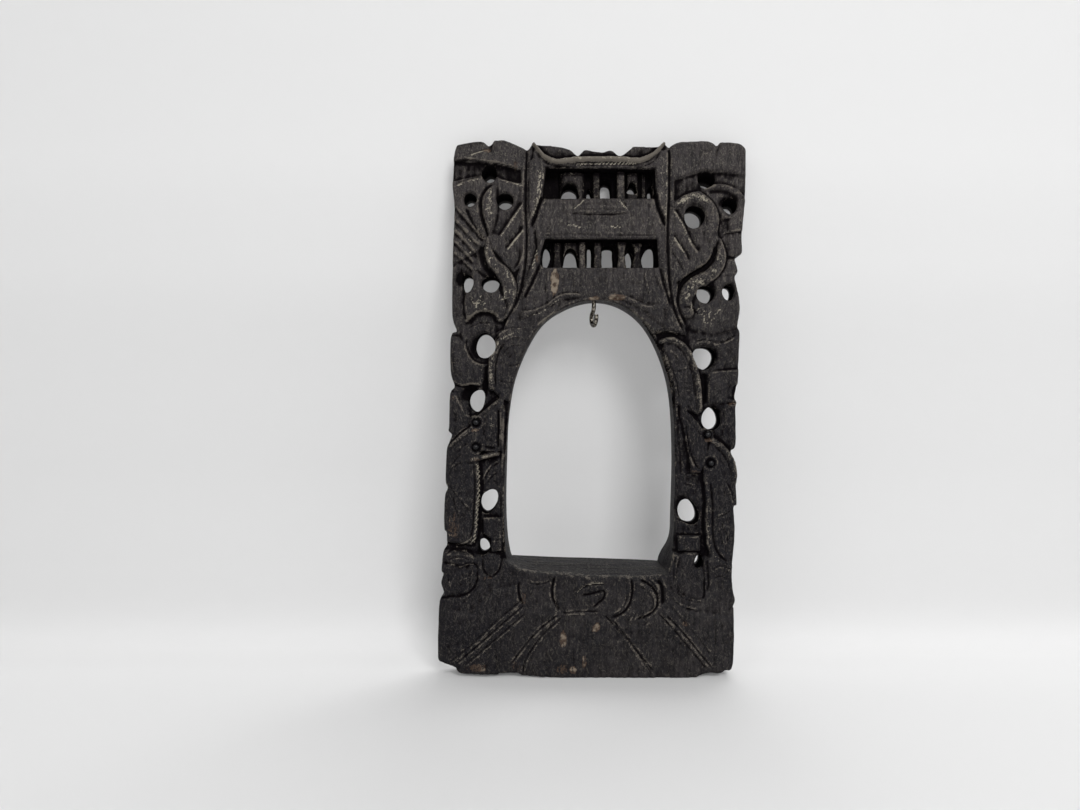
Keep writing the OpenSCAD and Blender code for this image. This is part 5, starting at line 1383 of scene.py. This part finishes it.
class BuildHook(bpy.types.Operator):
    """Bends the screw hook and cuts its thread"""

    bl_idname = "carved_frame.hook"
    bl_label = "Bend the Screw Hook"

    def execute(self, context):
        sizes = context.scene.carved_frame_hook
        low, high = box_of("screw_hook")
        joint = next(j for j in frame["joints"] if j["child"] == "hook")
        x, y = np.array(joint["pos_m"][:2]) / MM
        bowl, bend, tip, pitch = (
            v / MM for v in (sizes.bowl_radius, sizes.bend_height, sizes.tip_length, sizes.thread_pitch))
        wire, thread_depth, plain_shank, shank_rings = 1.1, 0.34, 3.2, 60
        # The wire's path, as reach, height and heading: the shank, a double bend, the bowl and the tip
        upwards = math.pi / 2
        bowl_z = low[2] + bowl + wire
        top_bend = bowl_z + bend
        bend_angle = 2 * math.atan(bowl / bend)
        bend_radius = bend / (2 * math.sin(bend_angle))
        shank = np.stack([np.zeros(shank_rings), np.linspace(high[2], top_bend + 0.1, shank_rings),
                          np.full(shank_rings, -upwards)], 1)
        a = np.linspace(0, bend_angle, 9)
        first = np.stack([-bend_radius + bend_radius * np.cos(a), top_bend - bend_radius * np.sin(a), -upwards - a], 1)
        a = a[::-1][1:]
        second = np.stack([bend_radius - bowl - bend_radius * np.cos(a), bowl_z + bend_radius * np.sin(a),
                           -upwards - a], 1)
        a = np.linspace(0, math.pi, 33)[1:]
        bowl_arc = np.stack([-bowl * np.cos(a), bowl_z - bowl * np.sin(a), -upwards + a], 1)
        rise = np.array([0.5, 1.0, 1.35, 1.5]) * tip / 1.5
        end = np.stack([np.full(4, bowl), bowl_z + rise, np.full(4, upwards)], 1)
        path = np.concatenate([shank, first[1:], second, bowl_arc, end])

        def radius_of(ring, angle):
            """The wire's radius: full on the bend, cut to a V thread up the shank, and drawn to a point on top."""
            z = path[ring[:, 0], 1][:, None]
            on_shank = ring < shank_rings
            crest = np.abs(2 * ((z / pitch + angle / (2 * math.pi)) % 1) - 1)
            threaded = smooth((z - top_bend - plain_shank) / 0.6) * on_shank
            r = wire - 0.02 - threaded * thread_depth * (1 - crest)
            r = np.where(on_shank, r * np.clip((high[2] - z) / 2.2 + 0.12, 0.12, 1) ** 0.8, r)
            rings_left = len(path) - 1 - ring
            return r * np.where(rings_left == 0, 0.8, np.where(rings_left == 1, 0.95, 1.0))

        turn = sizes.turn - math.pi / 2
        reach_axis = np.array([math.cos(turn), math.sin(turn), 0])
        side_axis = np.array([-math.sin(turn), math.cos(turn), 0])
        points, quads, caps = tube(path, reach_axis, side_axis, radius_of, 28)
        hook = new_piece("screw_hook_wire", points + (x, y, 0), quads, caps)
        hook.data.materials.append(drawn_steel("bright_drawn_steel", tuple(sizes.colour), 0.16, tuple(sizes.tarnish)))
        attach(hook, "hook")
        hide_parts("screw_hook")
        return {"FINISHED"}


class BuildBeads(bpy.types.Operator):
    """Sets the four glass beads on their pins"""

    bl_idname = "carved_frame.beads"
    bl_label = "Set the Bead Eyes"

    def execute(self, context):
        looks = context.scene.carved_frame_beads
        glass = black_glass(tuple(looks.colour))
        steel = drawn_steel("dull_wire_steel", tuple(looks.pin_colour), 0.4, linear("#4a4640"))
        bore = 0.48
        for name in BEADS:
            low, high = box_of(name)
            radius = (high[0] - low[0]) / 2
            middle = ((low[0] + high[0]) / 2, low[1] + radius, (low[2] + high[2]) / 2)
            flat_back = high[1] - middle[1]
            turn = np.linspace(math.asin(flat_back / radius), -math.pi / 2 + 0.04, 22)
            profile = [(bore, flat_back - 0.6), (bore, flat_back)]
            profile += [(radius * math.cos(a) * (0.97 if n == 0 else 1), radius * math.sin(a))
                        for n, a in enumerate(turn)]
            points, quads, caps = round_form(profile, middle, 36)
            bead = new_piece(name.replace("eye_bead", "glass_bead"), points, quads[:, ::-1], caps[:, ::-1])
            bead.data.materials.append(glass)
            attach(bead, "board")
            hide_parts(name)
        for name in PINS:
            pin = frame["nodes"][name]
            pin.data.materials.clear()
            pin.data.materials.append(steel)
        return {"FINISHED"}


class BuildStage(bpy.types.Operator):
    """Lays the white paper, hangs the lamps and places the camera"""

    bl_idname = "carved_frame.stage"
    bl_label = "Set the Stage"

    def execute(self, context):
        looks = context.scene.carved_frame_stage
        scene = context.scene
        self.paper(tuple(looks.paper))
        self.lamps(scene)
        data = bpy.data.cameras.new("camera")
        data.sensor_width = 36
        data.lens = looks.lens
        camera = bpy.data.objects.new("camera", data)
        camera.location = looks.camera_place
        camera.rotation_euler = (math.pi / 2, 0, 0)
        scene.collection.objects.link(camera)
        scene.camera = camera
        scene.view_settings.view_transform = "Standard"
        return {"FINISHED"}

    def paper(self, colour):
        """A floor, and a sheet behind that leans on the board's top: the sheet shows and shades from the front only."""
        # The sheet from the side, as y and z: the floor, a round fold, and the part that hangs over the board's top
        across = np.linspace(-1400, 1400, 15)
        fold_y, fold_size, touch_y = 74.0, 45.0, BACK_Y + 0.4
        bend = np.linspace(0, 1, 13)
        fold = np.stack([fold_y - fold_size * (1 - bend) ** 2, fold_size * bend ** 2], 1)
        hung = curve([(68, 90), (47, 150), (27, 196), (19, 222), (touch_y + 4, 241), (touch_y + 1, 254),
                      (touch_y, BOARD_HIGH[2]), (touch_y + 4, 300), (touch_y + 22, 400), (touch_y + 110, 900)], 5)
        floor = np.array([[-1500.0, 0.0], [-400.0, 0.0], [-60.0, 0.0]])
        profile = np.concatenate([floor, fold, hung])
        x, row = np.meshgrid(across, np.arange(len(profile)))
        points = np.stack([x, profile[row, 0], profile[row, 1]], -1).reshape(-1, 3)
        sheet = new_piece("paper_sheet", points, np.stack(cell_corners(x.shape), -1).reshape(-1, 4))
        plane = np.array([[-1500, 10, -0.4], [1500, 10, -0.4], [1500, 1500, -0.4], [-1500, 1500, -0.4]], float)
        ground = new_piece("paper_floor", plane, np.array([[0, 1, 2, 3]]))
        material, tree, output = new_material("white_paper")
        place = add_node(tree, "ShaderNodeTexCoord").outputs["Object"]
        tooth = add_node(tree, "ShaderNodeTexNoise", {"Vector": place, "Scale": 400.0, "Detail": 4.0}).outputs[0]
        bump = add_node(tree, "ShaderNodeBump", {"Strength": 0.08, "Distance": 0.0002, "Height": tooth})
        shader = add_node(tree, "ShaderNodeBsdfPrincipled",
                          {"Base Color": colour, "Roughness": 0.9, "Normal": bump.outputs[0]})
        tree.links.new(shader.outputs[0], output.inputs[0])
        ground.data.materials.append(material)
        one_sided, tree, output = new_material("white_paper_front")
        shader = add_node(tree, "ShaderNodeBsdfPrincipled", {"Base Color": colour, "Roughness": 0.9})
        shine = add_node(tree, "ShaderNodeBsdfTranslucent", {"Color": colour})
        shader = add_node(tree, "ShaderNodeMixShader", {0: 0.15, 1: shader.outputs[0], 2: shine.outputs[0]})
        clear = add_node(tree, "ShaderNodeBsdfTransparent")
        facing = add_node(tree, "ShaderNodeNewGeometry").outputs["Backfacing"]
        mixed = add_node(tree, "ShaderNodeMixShader", {0: facing, 1: shader.outputs[0], 2: clear.outputs[0]})
        tree.links.new(mixed.outputs[0], output.inputs[0])
        sheet.data.materials.append(one_sided)
        sheet.visible_shadow = False
        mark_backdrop(sheet, ground)

    def lamps(self, scene):
        """A soft lamp above, a weak one at the left, one behind for the back, and a pale even sky."""
        aim, sky_light = (0, 0, 0.12), 0.26
        for name, place, size, power in (("lamp_above", (0.35, -1.35, 0.95), 0.55, 17.4),
                                         ("lamp_side", (-0.9, -1.2, 1.0), 0.8, 2.5),
                                         ("lamp_behind", (0.25, 0.6, 1.1), 0.8, 7.0)):
            data = bpy.data.lights.new(name, "AREA")
            data.shape = "SQUARE"
            data.size = size
            data.energy = power
            lamp = bpy.data.objects.new(name, data)
            lamp.location = place
            lamp.rotation_euler = (Vector(aim) - Vector(place)).to_track_quat("-Z", "Y").to_euler()
            scene.collection.objects.link(lamp)
        world = bpy.data.worlds.new("pale_sky")
        world.use_nodes = True
        tree = world.node_tree
        tree.nodes.clear()
        output = add_node(tree, "ShaderNodeOutputWorld")
        rays = add_node(tree, "ShaderNodeLightPath").outputs
        light = add_node(tree, "ShaderNodeBackground", {"Color": (1, 1, 1, 1), "Strength": sky_light}).outputs[0]
        white = add_node(tree, "ShaderNodeBackground", {"Color": (1, 1, 1, 1), "Strength": 1.0}).outputs[0]
        seen = rays["Is Camera Ray"]
        for ray in ("Is Glossy Ray", "Is Transmission Ray"):
            seen = add_node(tree, "ShaderNodeMath", {0: seen, 1: rays[ray]}, operation="MAXIMUM").outputs[0]
        mixed = add_node(tree, "ShaderNodeMixShader", {0: seen, 1: light, 2: white}).outputs[0]
        tree.links.new(mixed, output.inputs[0])
        scene.world = world


class FramePanel(bpy.types.Panel):
    """Lists the steps and their settings in the sidebar"""

    bl_idname = "VIEW3D_PT_carved_frame"
    bl_label = "Carved Frame"
    bl_space_type = "VIEW_3D"
    bl_region_type = "UI"
    bl_category = "Carved Frame"

    def draw(self, context):
        scene = context.scene
        for operator, settings in ((BuildBoard, scene.carved_frame_board), (BuildHook, scene.carved_frame_hook),
                                   (BuildBeads, scene.carved_frame_beads), (BuildStage, scene.carved_frame_stage)):
            box = self.layout.box()
            box.operator(operator.bl_idname)
            for name in settings.bl_rna.properties.keys():
                if name not in ("rna_type", "name"):
                    box.prop(settings, name)


SETTINGS = {"carved_frame_board": BoardSettings, "carved_frame_hook": HookSettings,
            "carved_frame_beads": BeadSettings, "carved_frame_stage": StageSettings}
CLASSES = (*SETTINGS.values(), BuildBoard, BuildHook, BuildBeads, BuildStage, FramePanel)


def register():
    """Registers every class and puts the settings on the scene."""
    for cls in CLASSES:
        bpy.utils.register_class(cls)
    for name, group in SETTINGS.items():
        setattr(bpy.types.Scene, name, bpy.props.PointerProperty(type=group))


def unregister():
    """Takes the settings and the classes away again."""
    for name in SETTINGS:
        delattr(bpy.types.Scene, name)
    for cls in reversed(CLASSES):
        bpy.utils.unregister_class(cls)


def main():
    """Builds every piece in order."""
    register()
    bpy.ops.carved_frame.board()
    bpy.ops.carved_frame.hook()
    bpy.ops.carved_frame.beads()
    bpy.ops.carved_frame.stage()
    boxes = {name: [list(corner) for corner in box] for name, box in (("cad", CAD_BOX), ("visual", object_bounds()))}


if __name__ == "__main__":
    main()
